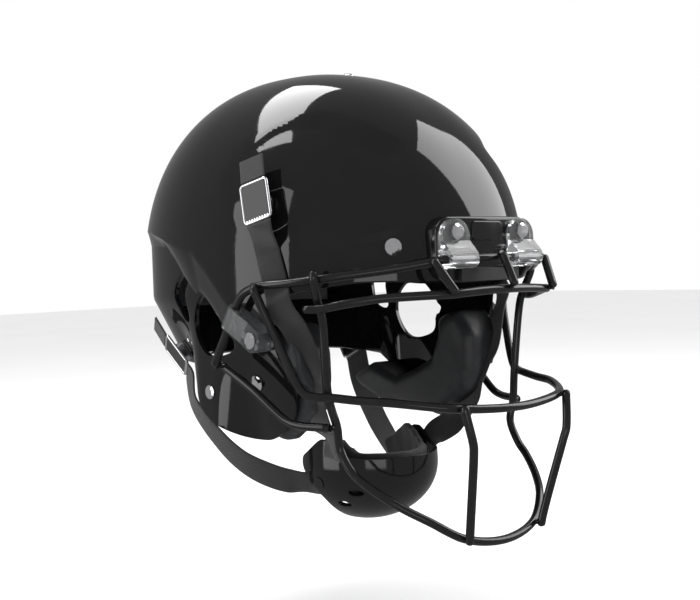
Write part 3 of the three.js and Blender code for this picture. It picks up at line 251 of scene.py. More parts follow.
# Pieces: a mesh from points in millimetres, its look, body and the CAD nodes that it stands for
def addPiece(name, points, faces, look, body, replaces=(), sharp=40, uvs=None, mods=()):
    mesh = bpy.data.meshes.new(name)
    mesh.from_pydata([tuple(p) for p in rowPoints(points)], [], [tuple(map(int, f)) for f in faces])
    mesh.update()
    mesh.shade_smooth()
    mesh.set_sharp_from_angle(angle=math.radians(sharp))
    if uvs is not None:
        layer = mesh.uv_layers.new(name="strapUv")
        corners = np.empty(len(mesh.loops), np.int32)
        mesh.loops.foreach_get("vertex_index", corners)
        layer.data.foreach_set("uv", np.asarray(uvs, np.float32)[corners].ravel())
    piece = linked(name, mesh)
    mesh.materials.append(looks[look])
    for kind, values in mods:
        modify(piece, kind, **values)
    if body:
        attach(piece, body)
    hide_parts(*replaces)
    return piece


# Faces turned so that the closed form's signed volume is above zero
def outwardFaces(points, faces):
    points = np.asarray(points, float)
    volume = 0.0
    for face in faces:
        for k in range(1, len(face) - 1):
            volume += np.dot(points[face[0]], np.cross(points[face[k]], points[face[k + 1]]))
    return faces if volume > 0 else [tuple(reversed(f)) for f in faces]


# Four-cornered faces between closed rings: a point, the next one round, and both of them on the next ring
def bandFaces(rings, count):
    here = np.arange((rings - 1) * count).reshape(rings - 1, count)
    after = np.roll(here, -1, axis=1)
    return np.stack([here, after, after + count, here + count], axis=-1).reshape(-1, 4)


# A closed form from rings of equal length, capped at both ends
def loft(rings):
    count = len(rings[0])
    points = np.concatenate([np.asarray(r, float) for r in rings])
    last = (len(rings) - 1) * count
    faces = [tuple(f) for f in bandFaces(len(rings), count).tolist()]
    faces += [tuple(range(count - 1, -1, -1)), tuple(range(last, last + count))]
    return points, outwardFaces(points, faces)


# Several forms as one
def merged(*forms):
    points, faces = [], []
    for formPoints, formFaces in forms:
        offset = sum(len(p) for p in points)
        points.append(np.asarray(formPoints, float))
        faces += [tuple(i + offset for i in f) for f in formFaces]
    return np.concatenate(points), faces


# Centripetal spline through points, at a share of its run by point number
def splineAt(points, share):
    points = np.asarray(points, float)
    last = len(points) - 1
    place = last * share
    i = min(int(math.floor(place)), last - 1)
    w = place - i
    before = points[i - 1] if i > 0 else 2 * points[0] - points[1]
    after = points[i + 2] if i + 2 <= last else 2 * points[-1] - points[-2]
    a, b = points[i], points[i + 1]
    d0, d1, d2 = (np.linalg.norm(q - p) ** 0.5 for p, q in ((before, a), (a, b), (b, after)))
    least = 1e-4
    d1 = d1 if d1 > least else 1.0
    d0 = d0 if d0 > least else d1
    d2 = d2 if d2 > least else d1
    t1 = ((a - before) / d0 - (b - before) / (d0 + d1) + (b - a) / d1) * d1
    t2 = ((b - a) / d1 - (after - a) / (d1 + d2) + (after - b) / d2) * d1
    return a + t1 * w + (-3 * a + 3 * b - 2 * t1 - t2) * w ** 2 + (2 * a - 2 * b + t1 + t2) * w ** 3


# Points evenly spaced along the spline's length
def spacedRun(points, spacing):
    fine = np.array([splineAt(points, s) for s in np.linspace(0, 1, 40 * (len(points) - 1) + 1)])
    lengths = np.concatenate([[0], np.cumsum(np.linalg.norm(np.diff(fine, axis=0), axis=1))])
    count = max(4, int(round(lengths[-1] / spacing)))
    wanted = np.linspace(0, lengths[-1], count + 1)
    return np.stack([np.interp(wanted, lengths, fine[:, k]) for k in range(3)], axis=1)


# A round wire: at each point of its run a circle square to the run, radius times cosine and sine of the turn
# along two axes that are carried from point to point, and smaller circles at the ends
def wireRings(run, radius, count=18):
    tangents = np.gradient(run, axis=0)
    tangents /= np.linalg.norm(tangents, axis=1)[:, None]
    across = np.cross(tangents[0], (0.31, 0.2, 0.93))
    across /= np.linalg.norm(across)
    turn = np.arange(count) * 2 * math.pi / count
    rings = []
    stations = [(0, 0.45, 0.0), (0, 0.82, 0.12)] + [(i, 1.0, 0.0) for i in range(1, len(run) - 1)]
    stations += [(len(run) - 1, 0.82, -0.12), (len(run) - 1, 0.45, 0.0)]
    for i, scale, along in stations:
        across = across - tangents[i] * np.dot(across, tangents[i])
        across /= np.linalg.norm(across)
        other = np.cross(tangents[i], across)
        centre = run[i] + tangents[i] * along * radius * 2
        circle = np.outer(np.cos(turn), across) + np.outer(np.sin(turn), other)
        rings.append(centre + radius * scale * circle)
    return rings


# Plan radius of the dome and of the lower wall, as superellipses in the angle from the side axis
def planRadius(angle, halfWidth, reach, power):
    across = (np.abs(np.cos(angle)) / halfWidth) ** power
    along = (np.abs(np.sin(angle)) / reach) ** power
    return (across + along) ** (-1 / power)


def domeRadius(angle, height):
    s = shellShape
    front = np.sin(angle) >= 0
    reach = np.where(front, s["frontReach"], s["rearReach"])
    power = np.where(front, s["frontPower"], s["rearPower"])
    level = np.clip(height, 0, None) / s["height"]
    ring = (1 - np.clip(level, 0, 1) ** s["domePower"]) ** (1 / s["domePower"])
    return planRadius(angle, s["halfWidth"], reach, power) * ring


# The lower wall: its plan radius less the nape's curl and the jaw's tuck, which grow downward
def lowerRadius(angle, height):
    s = shellShape
    front = np.sin(angle) >= 0
    reach = np.where(front, s["lowerFrontReach"], s["lowerRearReach"])
    power = np.where(front, s["lowerFrontPower"], s["lowerRearPower"])
    plan = planRadius(angle, s["lowerHalfWidth"], reach, power)
    frontward = np.degrees(np.arcsin(np.sin(angle)))
    curl = smoothStep(-frontward, 8, 35) * s["napeCurl"] * np.clip(-height - s["napeCrease"], 0, None)
    tuck = smoothStep(frontward, 0, 24) * s["jawTuck"] * np.clip(-height - s["jawTuckDrop"], 0, None)
    return plan - curl - tuck


# The dome's half width at a reach forward and a height
def domeWidth(reach, height):
    s = shellShape
    level = np.clip(np.clip(height, 0, None) / s["height"], 0, 1)
    ring = (1 - level ** s["domePower"]) ** (1 / s["domePower"])
    full = np.where(np.asarray(reach) >= 0, s["frontReach"], s["rearReach"])
    power = np.where(np.asarray(reach) >= 0, s["frontPower"], s["rearPower"])
    share = np.abs(reach) / np.maximum(full * ring, 1e-9)
    return s["halfWidth"] * ring * np.clip(1 - share ** power, 0, None) ** (1 / power)


def around(angle, radius, height):
    return np.stack([np.cos(angle) * radius, -np.sin(angle) * radius, height + 0 * angle], axis=-1)


ridgeShares = [
    [-1, 0.271], [-0.505, 0.244], [-0.316, 0.21], [-0.175, 0.169], [-0.007, 0.136], [0.098, 0.038],
    [0.189, -0.088], [0.257, -0.191], [0.318, -0.274], [0.415, -0.372], [0.501, -0.478], [0.611, -0.584],
]
chamferShares = [
    [-1, 0.183], [-0.435, 0.166], [-0.379, 0.149], [-0.309, 0.115], [-0.224, 0.065], [-0.077, -0.062],
    [0.055, -0.168], [0.159, -0.283], [0.214, -0.363], [0.305, -0.394], [0.415, -0.478], [0.501, -0.584],
    [0.611, -0.69],
]
keptShares = [
    [0.965, -0.062], [0.904, -0.041], [0.8, -0.039], [0.706, -0.056], [0.593, -0.08], [0.52, -0.1],
    [0.478, -0.15], [0.466, -0.25], [0.468, -0.36], [0.49, -0.46], [0.505, -0.54], [0.497, -0.62],
    [0.477, -0.7], [0.455, -0.8], [0.425, -0.868], [0.37, -0.925], [0.29, -0.98], [0.2, -0.985],
    [0.13, -0.965], [-0.07, -0.858], [-0.168, -0.69], [-0.252, -0.549], [-1.3, -0.549], [-1.3, 1.3],
    [1.3, 1.3], [1.3, -0.062],
]
earShares = [
    [0, -0.071], [-0.112, -0.159], [-0.126, -0.327], [-0.028, -0.469], [0.134, -0.442], [0.153, -0.336],
    [0.11, -0.212],
]
ventShares = [
    [-0.217, 0.034], [-0.175, 0], [-0.21, -0.097], [-0.189, -0.257], [-0.266, -0.239], [-0.316, -0.106],
    [-0.295, -0.027],
]
recessOuterShares = [
    [0.395, 0.716], [0.498, 0.749], [0.586, 0.732], [0.709, 0.667], [0.821, 0.579], [0.878, 0.363],
    [0.913, 0.208], [0.866, 0.147], [0.7, 0.12], [0.4, 0.16], [0.1, 0.4], [0.2, 0.62],
]
recessInnerShares = [
    [0.4, 0.67], [0.555, 0.673], [0.57, 0.642], [0.789, 0.547], [0.807, 0.497], [0.838, 0.357],
    [0.875, 0.211], [0.855, 0.188], [0.7, 0.18], [0.45, 0.24], [0.2, 0.4], [0.25, 0.56],
]


# Signed distance in the side view to a closed outline, negative inside
def outlineDistance(places, outline):
    places = np.asarray(places, float)
    outline = np.asarray(outline, float)
    best = np.full(len(places), 1e9)
    inside = np.zeros(len(places), bool)
    for a, b in zip(outline, np.roll(outline, -1, axis=0)):
        run = b - a
        t = np.clip(((places - a) @ run) / max(run @ run, 1e-12), 0, 1)
        best = np.minimum(best, np.linalg.norm(places - a - t[:, None] * run, axis=1))
        crosses = (a[1] > places[:, 1]) != (b[1] > places[:, 1])
        with np.errstate(divide="ignore", invalid="ignore"):
            edge = a[0] + (places[:, 1] - a[1]) * (b[0] - a[0]) / (b[1] - a[1])
        inside ^= crosses & (places[:, 0] < edge)
    return np.where(inside, -best, best)


# An outline with each corner rounded by rounds of corner cutting
def softened(outline, rounds=2, share=0.22):
    outline = np.asarray(outline, float)
    for _ in range(rounds):
        after = np.roll(outline, -1, axis=0)
        near, far = outline * (1 - share) + after * share, outline * share + after * (1 - share)
        outline = np.stack([near, far], axis=1).reshape(-1, outline.shape[-1])
    return outline


# A closed Catmull-Rom curve through an outline's points
def smoothLoop(outline, steps=6):
    outline = np.asarray(outline, float)
    count = len(outline)
    padded = np.concatenate([outline[-2:], outline, outline[:3]])
    places = []
    for i in range(count):
        a, b, c, d = padded[i + 1], padded[i + 2], padded[i + 3], padded[i + 4]
        for k in range(steps):
            w = k / steps
            places.append(0.5 * (2 * b + (c - a) * w + (2 * a - 5 * b + 4 * c - d) * w ** 2
                                 + (3 * b - a - 3 * c + d) * w ** 3))
    return np.array(places)


# Splits faces where values cross zero, and drops the part above zero unless both sides stay.
# A corner that lies close to the line slides onto it along its edge, so that no thin face is left.
def splitAlong(points, faces, valueAt, keepBoth=False, snap=0.22):
    points = np.array(points, float)
    values = valueAt(points)
    crossing = [f for f in faces if values[f].min() < 0 < values[f].max()]
    slide = {}
    for face in crossing:
        for a, b in zip(face, face[1:] + face[:1]):
            if values[a] * values[b] < 0:
                t = values[a] / (values[a] - values[b])
                for corner, other, share in ((a, b, t), (b, a, 1 - t)):
                    if share < snap and share < slide.get(corner, (1, 0))[0]:
                        slide[corner] = (share, other)
    before = points.copy()
    for corner, (share, other) in slide.items():
        points[corner] = before[corner] * (1 - share) + before[other] * share
        values[corner] = 0
    made, extra, kept = {}, [], []
    for face in faces:
        low, high = values[face].min(), values[face].max()
        if high <= 0 or (keepBoth and low >= 0):
            kept.append(face)
            continue
        if low >= 0:
            continue
        below, above = [], []
        for a, b in zip(face, face[1:] + face[:1]):
            if values[a] <= 0:
                below.append(a)
            if values[a] >= 0:
                above.append(a)
            if values[a] * values[b] < 0:
                key = (min(a, b), max(a, b))
                if key not in made:
                    made[key] = len(points) + len(extra)
                    t = values[a] / (values[a] - values[b])
                    extra.append(points[a] * (1 - t) + points[b] * t)
                below.append(made[key])
                above.append(made[key])
        if len(below) > 2:
            kept.append(below)
        if keepBoth and len(above) > 2:
            kept.append(above)
    if extra:
        points = np.concatenate([points, np.array(extra)])
    return points, kept


def withoutLoose(points, faces):
    used = sorted({i for f in faces for i in f})
    number = {old: new for new, old in enumerate(used)}
    return points[used], [[number[i] for i in f] for f in faces]


def sideView(points):
    return np.stack([-points[:, 1], points[:, 2]], axis=1)


# The height where a column of the dome meets a side view line
def lineHeights(line, angles):
    places = sidePlaces(line)
    height = np.zeros(len(angles))
    for _ in range(24):
        reach = np.sin(angles) * domeRadius(angles, height)
        height = (height + np.interp(reach, places[:, 0], places[:, 1])) / 2
    return height


# Where rows lie on the chamfer and the undercut, and where the chamfer fades out to the rear
chamferRowShares = (0.06, 0.3, 0.65, 0.94, 1.0)
undercutRowShares = (0.1, 0.9, 1.0)
chamferFadeShares = (-0.43, -0.21)


# The shell's outer form: around each row the radius is the dome's down to the ridge, then runs straight to the
# foot of the chamfer, and is the lower wall's below the undercut
def shellGrid(columns, domeRows, wallRows):
    s = shellShape
    angles = np.arange(columns) * 2 * math.pi / columns
    ridges = lineHeights(ridgeShares, angles)
    feet = lineHeights(chamferShares, angles)
    rows = []
    for share in np.linspace(1, 0, domeRows + 1)[1:]:
        rise = math.sin(share * math.pi / 2) ** (2 / s["domePower"])
        height = ridges + (s["height"] - ridges) * rise
        rows.append(around(angles, domeRadius(angles, height), height))
    reach = np.sin(angles) * domeRadius(angles, feet)
    weight = smoothStep(reach, *(share * s["rearReach"] for share in chamferFadeShares))
    chamfered = domeRadius(angles, ridges) - s["chamferInset"]
    footRadius = lowerRadius(angles, feet) * (1 - weight) + chamfered * weight
    foot = around(angles, footRadius, feet)
    ridge = rows[-1]
    for share in chamferRowShares:
        rows.append(ridge * (1 - share) + foot * share)
    stepHeight = feet - s["undercut"]
    step = around(angles, lowerRadius(angles, stepHeight), stepHeight)
    for share in undercutRowShares:
        rows.append(foot * (1 - share) + step * share)
    floor = -s["drop"] - s["overrun"]
    for share in np.linspace(0, 1, wallRows + 1)[1:]:
        height = stepHeight + (floor - stepHeight) * share
        rows.append(around(angles, lowerRadius(angles, height), height))
    points = np.concatenate([[[0, 0, s["height"]]], *rows])
    faces = []
    for k in range(columns):
        after = (k + 1) % columns
        faces.append([0, 1 + k, 1 + after])
        for i in range(len(rows) - 1):
            a, b = 1 + i * columns, 1 + (i + 1) * columns
            faces.append([a + k, b + k, b + after, a + after])
    return points, faces


# How far into the side recess a point lies: 0 at the outer line, 1 at the inner one
def recessPush(points, innerLine, outerLine):
    places = sideView(points)
    outer = outlineDistance(places, outerLine)
    inner = outlineDistance(places, innerLine)
    ramp = np.where(outer >= 0, 0, np.where(inner <= 0, 1, -outer / np.maximum(-outer + inner, 1e-9)))
    return ramp * (np.abs(points[:, 0]) > 25)


def shellSkin(columns, domeRows, wallRows):
    s = shellShape
    points, faces = shellGrid(columns, domeRows, wallRows)
    kept = softened(sidePlaces(keptShares), 2, 0.2)
    ear = smoothLoop(sidePlaces(earShares))
    vent = smoothLoop(sidePlaces(ventShares))
    outerLine = softened(sidePlaces(recessOuterShares), 1, 0.15)
    innerLine = softened(sidePlaces(recessInnerShares), 1, 0.15)
    nearSide = lambda p: np.where(np.abs(p[:, 0]) > 20, 0, 50)
    points, faces = splitAlong(points, faces, lambda p: outlineDistance(sideView(p), kept))
    for hole in (ear, vent):
        points, faces = splitAlong(points, faces, lambda p: -outlineDistance(sideView(p), hole) - nearSide(p))
    for line in (outerLine, innerLine):
        valueAt = lambda p: outlineDistance(sideView(p), line) + nearSide(p)
        points, faces = splitAlong(points, faces, valueAt, True)
    ramp = recessPush(points, innerLine, outerLine)
    # Inside the recess the surface is the same dome moved rearward: its width at a place further forward
    further = domeWidth(-points[:, 1] + s["recessDepth"], points[:, 2])
    moved = np.where(points[:, 2] < s["height"], further, 0)
    width = np.abs(points[:, 0])
    drop = np.clip(width - moved, 0, s["recessDepth"] * 2.2) * ramp
    normal = np.stack([points[:, 0] / s["halfWidth"] ** 2, points[:, 1] / s["frontReach"] ** 2,
                       points[:, 2] / s["height"] ** 2], axis=1)
    normal /= np.linalg.norm(normal, axis=1)[:, None]
    depth = drop * np.abs(normal[:, 0])
    points = points - normal * depth[:, None]
    points, faces = withoutLoose(points, faces)
    return points, [face[::-1] for face in faces]


points, faces = shellSkin(columns=340, domeRows=84, wallRows=44)
addPiece("shellVisual", points, faces, "shell", "helmet", ["shell"], sharp=28, mods=[
    ("SOLIDIFY", {"thickness": shellShape["wall"] / 1000, "offset": -1, "use_even_offset": True,
                  "use_quality_normals": True}),
    ("BEVEL", {"width": 0.0008, "segments": 2, "limit_method": "ANGLE", "angle_limit": math.radians(55)}),
])
print("stage: shell", len(faces))

# Mask wires, from the same routes as the solids
mask = {"chordShare": 1.035, "overshoot": 0.8, "bead": 0.36, "step": 2.2, "tieStep": 1.6}
pitch = wireDiameter * mask["chordShare"] + clearance


def beside(point, x, f, z=0.0):
    return point + unit((x, -f, z)) * pitch


hinge = {"reach": 172.1, "height": 8.6, "bow": 3}
plate = {
    "halfWidth": shellShape["halfWidth"] * 0.384, "top": 36, "bottom": -6, "reach": 167.5, "sweep": 2.5,
    "corner": 12,
}
clips = {"inset": 13, "width": 25}
clips["inner"] = plate["halfWidth"] - clips["inset"] - clips["width"] / 2
browAtTie, browAtLoop, browAtMid = at(0.43, 1.017, 0.05), at(0.874, 0.686, -0.013), at(0.991, 0.447, -0.04)
eyeAtTie, loopAtEye, loopAtMid = at(0.398, 1.082, -0.117), at(0.853, 0.689, -0.175), at(0.787, 0.671, -0.68)
loopAtLower, loopAtUpright = at(0.747, 0.684, -0.858), at(0.289, 1.045, -1.512)
midAtUpright = at(0.415, 1.121, -0.75)
browCentre = np.array([0, -hinge["reach"] - hinge["bow"], hinge["height"]])
eyeCentre, loopEnd, loopBend = at(0, 1.127, -0.102), at(1.026, 0.166, -0.512), at(1.026, 0.336, -0.142)
along = lambda a, b, t: a + (b - a) * t


def spanned(half):
    return np.concatenate([mirroredX(np.array(half[1:])[::-1]), np.array(half)])


def tied(upper, lower):
    reach = unit(upper - lower) * mask["overshoot"]
    return np.array([upper + reach, (upper + lower) / 2, lower - reach])


browStops = [
    (clips["inner"] * 0.45, 0.8), (clips["inner"] * 0.96, 0), (clips["inner"] + clearance, 0),
    (clips["inner"] + clips["width"] - clearance, 0), (plate["halfWidth"] + clearance, 0),
]
browMiddle = [np.array([x, -hinge["reach"] - bow * hinge["bow"], hinge["height"]]) for x, bow in browStops]
uprightTop, uprightFoot = beside(midAtUpright, 0.3, 0.95), beside(loopAtUpright, 0.35, 0.94)
lowerRest = at(0.86, 0.545, -0.849)
wireRuns = {
    "brow_bar": spanned([browCentre, *browMiddle] + [
        browAtTie, at(0.568, 0.936, 0.029), at(0.754, 0.8, 0.006), browAtLoop, at(0.957, 0.54, -0.031),
        browAtMid, at(1.008, 0.42, -0.052), at(1.024, 0.37, -0.086), loopBend,
        along(loopBend, loopEnd, 0.05), along(loopBend, loopEnd, 0.5), loopEnd]),
    "eye_bar": spanned([
        eyeCentre, at(0.2, 1.112, -0.106), eyeAtTie, at(0.534, 1.012, -0.12), at(0.695, 0.913, -0.128),
        at(0.814, 0.812, -0.15), beside(loopAtEye, 0.74, 0.68), at(0.932, 0.66, -0.177)]),
    "cage_loop": spanned([
        at(0, 1.07, -1.56), loopAtUpright, at(0.47, 0.98, -1.395), at(0.583, 0.899, -1.305),
        at(0.669, 0.8, -1.2), at(0.703, 0.728, -1.115), at(0.722, 0.678, -0.988), loopAtLower, loopAtMid,
        at(0.832, 0.687, -0.24), loopAtEye, beside(browAtLoop, 0.74, 0.68),
        beside(browAtLoop, 0.74, 0.68) + (0, 0, wireDiameter)]),
    "mid_bar": spanned([
        at(0, 1.168, -0.774), at(0.2, 1.156, -0.768), midAtUpright, at(0.508, 1.081, -0.737),
        at(0.669, 0.94, -0.706), at(0.746, 0.82, -0.696), beside(loopAtMid, 0.62, 0.78),
        at(0.862, 0.655, -0.676), at(0.89, 0.607, -0.649), at(0.963, 0.518, -0.347),
        beside(browAtMid, 1, 0.1)]),
    "brow_tie_centre": tied(beside(browCentre, 0, 0.906, 0.424), beside(eyeCentre, 0, 0.906, 0.424)),
}
sideRuns = {
    "brow_tie": tied(beside(browAtTie, 0.7, 0.7, 0.14), beside(eyeAtTie, 0.28, 0.94, 0.2)),
    "front_upright": [
        uprightTop + (0, 0, wireDiameter / 2), uprightTop, at(0.396, 1.172, -0.95), at(0.385, 1.165, -1),
        uprightFoot, uprightFoot - (0, 0, wireDiameter / 2)],
    "lower_bar": [
        beside(loopEnd, -1, 0.1), at(0.93, 0.336, -0.659), at(0.88, 0.487, -0.822), lowerRest,
        along(beside(loopAtLower, 1, -0.05), lowerRest, 0.3), beside(loopAtLower, 1, -0.05)],
}
for side, sign in sides.items():
    for name, run in sideRuns.items():
        wireRuns[f"{name}_{side}"] = onSide(sign, run)
for name, run in wireRuns.items():
    spaced = spacedRun(run, mask["step"] if len(run) > 3 else mask["tieStep"])
    points, faces = loft(wireRings(spaced, wireDiameter / 2))
    addPiece(f"{name}_wire", points, faces, "wire", "face_mask", [name], sharp=60)

# Weld beads under the coating, where two wires of the mask touch
weldPairs = [
    (browAtLoop, beside(browAtLoop, 0.74, 0.68)), (browAtMid, beside(browAtMid, 1, 0.1)),
    (loopAtEye, beside(loopAtEye, 0.74, 0.68)), (loopAtMid, beside(loopAtMid, 0.62, 0.78)),
    (loopAtLower, beside(loopAtLower, 1, -0.05)), (loopAtUpright, uprightFoot), (midAtUpright, uprightTop),
    (loopEnd, beside(loopEnd, -1, 0.1)), (browAtTie, beside(browAtTie, 0.7, 0.7, 0.14)),
    (eyeAtTie, beside(eyeAtTie, 0.28, 0.94, 0.2)),
]
centreWelds = [(bar, beside(bar, 0, 0.906, 0.424)) for bar in (browCentre, eyeCentre)]


# A bead between two wires: circles along the line between their middles, wider toward each wire by its square
def beadRings(start, end, radius):
    axis = unit(end - start)
    first = unit(np.cross(axis, (0.2, 0.3, 0.93)))
    second = np.cross(axis, first)
    turn = np.arange(16) * 2 * math.pi / 16
    middle, reach = (start + end) / 2, np.linalg.norm(end - start) / 2
    rings = []
    for step in np.linspace(-0.92, 0.92, 9):
        wide = radius * (0.82 + 0.5 * abs(step) ** 2)
        circle = np.outer(np.cos(turn), first) + np.outer(np.sin(turn), second)
        rings.append(middle + axis * reach * step + wide * circle)
    return rings


beads = centreWelds + [(onSide(sign, a), onSide(sign, b)) for a, b in weldPairs for sign in (-1, 1)]
beadRadius = wireDiameter * mask["bead"]
points, faces = merged(*(loft(beadRings(start, end, beadRadius)) for start, end in beads))
addPiece("weldBeads", points, faces, "wire", "face_mask")
print("stage: mask")


# A place on the shell: a point and the way that the surface faces there
def shellFrame(angleShare, height, radiusAt):
    turn = 0.001
    rise = turn * shellShape["halfWidth"]
    angle = angleShare * math.pi
    place = lambda a, h: around(np.array(a), radiusAt(np.array(a), np.array(h)), np.array(h))
    point = place(angle, height)
    normal = np.cross(place(angle, height + rise) - point, place(angle + turn, height) - point)
    return point, unit(normal)


# A buckle's own axes, from the middle of its back: across, up along the strap, and out from the shell
def buckleAxes(sign, point, normal, goal, lift):
    point, normal, goal = (onSide(sign, v) for v in (point, normal, goal))
    up = goal - point
    up = unit(up - normal * np.dot(up, normal))
    across = np.cross(up, normal)
    start = point + normal * lift
    return lambda u, v, w: start + across * u + up * v + normal * w, normal


buckle = {
    "width": 23, "length": 29, "rod": 2.2, "corner": 3.5, "lift": 8.5, "tail": 16,
    "plate": {"high": 1.7, "low": -0.1, "corner": 2.6, "insetShare": 1.7, "edge": 0.4},
    "socket": {"radius": 7.4, "bore": 3.6, "foot": 1.9, "shoulder": -1.2},
    "teeth": {"count": 9, "widthShare": 0.42, "reach": 1.5, "inset": 0.3},
}
snapPlaces = {
    "upper": (*shellFrame(0.183, at(0, 0, 0.3286)[2], domeRadius), at(0.865, 0.359, 0.532)),
    "rear": (*shellFrame(-0.209, at(0, 0, -0.46)[2], lowerRadius), at(0.73, -0.617, -0.177)),
}


# A rectangle's outline with each corner an arc of the radius
def roundedLoop(halfWidth, halfLength, radius, steps=7):
    places = []
    for corner, (x, y) in enumerate(((1, 1), (-1, 1), (-1, -1), (1, -1))):
        for k in range(steps + 1):
            turn = math.pi / 2 * (corner + k / steps)
            places.append((x * (halfWidth - radius) + radius * math.cos(turn),
                           y * (halfLength - radius) + radius * math.sin(turn)))
    return np.array(places)


# A round rod bent along a closed flat loop: a circle across the loop at each of its points
def rodLoop(place, loop, radius, height, count=12):
    rings = []
    ahead, behind = np.roll(loop, -1, axis=0), np.roll(loop, 1, axis=0)
    for here, run in zip(loop, ahead - behind):
        side = np.array([run[1], -run[0]]) / np.linalg.norm(run)
        turns = np.arange(count) * 2 * math.pi / count
        rings.append([place(*(here + side * radius * math.cos(t)), height + radius * math.sin(t))
                      for t in turns])
    points = np.concatenate(rings)
    here = np.arange(len(points)).reshape(len(rings), count)
    other, after = np.roll(here, -1, axis=1), np.roll(here, -1, axis=0)
    faces = np.stack([here, other, np.roll(other, -1, axis=0), after], axis=-1).reshape(-1, 4)
    return points, outwardFaces(points, [tuple(f) for f in faces.tolist()])


# A flat plate with a rounded outline and softened edges, from rings around its outline
def flatPlate(place, halfWidth, halfLength, radius, low, high, edge):
    rings = []
    for inset, height in ((edge, low), (0, low + edge), (0, high - edge), (edge, high), (edge * 3, high)):
        loop = roundedLoop(halfWidth - inset, halfLength - inset, max(radius - inset, 0.3))
        rings.append([place(u, v, height) for u, v in loop])
    return loft(rings)


# A turned form on an axis, from radius and height pairs
def turnedForm(place, profile, count=40):
    turns = np.arange(count) * 2 * math.pi / count
    return loft([[place(r * math.cos(t), r * math.sin(t), h) for t in turns] for r, h in profile])


# Teeth along the inside of the buckle's lower bar: a row of upright triangular prisms
def buckleTeeth(place):
    b, t = buckle, buckle["teeth"]
    inner = b["width"] / 2 - b["rod"]
    foot = -b["length"] / 2 + b["rod"] * 0.8
    pitchAcross = 2 * inner / t["count"]
    half = pitchAcross * t["widthShare"]
    teeth = []
    for k in range(t["count"]):
        x = -inner + pitchAcross * (k + 0.5)
        low = [(x - half, foot), (x + half, foot), (x, foot + t["reach"])]
        heights = (t["inset"], b["rod"] - t["inset"])
        teeth.append(loft([[place(u, v, height) for u, v in low] for height in heights]))
    return merged(*teeth)


def buckleForms(place):
    half, length, rod = buckle["width"] / 2, buckle["length"] / 2, buckle["rod"] / 2
    ring = rodLoop(place, roundedLoop(half - rod, length - rod, buckle["corner"] - rod), rod, rod)
    p, c = buckle["plate"], buckle["socket"]
    inset = rod * p["insetShare"]
    low, wide = c["foot"] - buckle["lift"], c["radius"]
    return {
        "buckle_frame": ("chrome", merged(ring, buckleTeeth(place))),
        "buckle_plate": ("plate", flatPlate(
            place, half - inset, length - inset, p["corner"], p["low"], p["high"], p["edge"])),
        "snap_socket": ("zinc", turnedForm(place, [
            (c["bore"], low), (wide - 0.5, low), (wide, low + 0.5), (wide, c["shoulder"]), (wide - 0.8, -0.4),
            (wide - 2, 0)])),
    }


snapAxes = {}
for row, (point, normal, goal) in snapPlaces.items():
    for side, sign in sides.items():
        place, facing = buckleAxes(sign, point, normal, goal, buckle["lift"])
        snapAxes[f"{row}_{side}"] = (place, facing)
        body = f"{row}_{side}_snap"
        for kind, (look, (points, faces)) in buckleForms(place).items():
            addPiece(f"{row}_{kind}_{side}", points, faces, look, body, [f"{row}_buckle_{side}"])
print("stage: buckles")


# Straps: flat webbing with rounded edges along the same routes as the solids.
# A point on the dome, lifted along the way that the dome faces there, which its width's slopes give.
def onDome(f, z, lift):
    reach, height = -at(0, f, 0)[1], at(0, 0, z)[2]
    step = shellShape["halfWidth"] / 1000
    width = float(domeWidth(reach, height))
    alongReach = (float(domeWidth(reach + step, height)) - width) / step
    alongHeight = (float(domeWidth(reach, height + step)) - width) / step if height > 0 else 0
    normal = unit((1, alongReach, -alongHeight))
    return np.array([width, -reach, height]) + normal * lift, normal


cup = {"centre": at(0, 0.281, -1.2035), "halfWidth": 46, "reach": 51, "depth": 38.5, "lean": 0.12, "wall": 3}
padChannel = 34


# The cup's girth at a level: a circle's below its middle, and less by a share of the level's square above it
def cupGirth(level):
    return np.where(level < 0, np.sqrt(np.clip(1 - level ** 2, 0, None)), 1 - cup["lean"] * level ** 2)


def onCup(f, z, lift):
    x = math.sqrt(max(0.0, float(cupGirth(z)) ** 2 - f * f))
    normal = unit((x / cup["halfWidth"], -f / cup["reach"], min(0, z) / cup["depth"]))
    point = cup["centre"] + (x * cup["halfWidth"], -f * cup["reach"], z * cup["depth"])
    return point + normal * lift, normal


def faceOut(x, f, z):
    return unit((x, -f, z))


def inPad(share, f, z):
    place = at(0, f, z)
    place[0] = shellShape["lowerHalfWidth"] - share * padChannel
    return place


# Half of a strap's width and thickness are 1 here
strapSection = np.array([
    (-1, -0.4), (-0.975, -0.9), (-0.93, -1), (-0.5, -1), (0, -1), (0.5, -1), (0.93, -1), (0.975, -0.9),
    (1, -0.4), (1, 0.4), (0.975, 0.9), (0.93, 1), (0.5, 1), (0, 1), (-0.5, 1), (-0.93, 1), (-0.975, 0.9),
    (-1, 0.4),
])


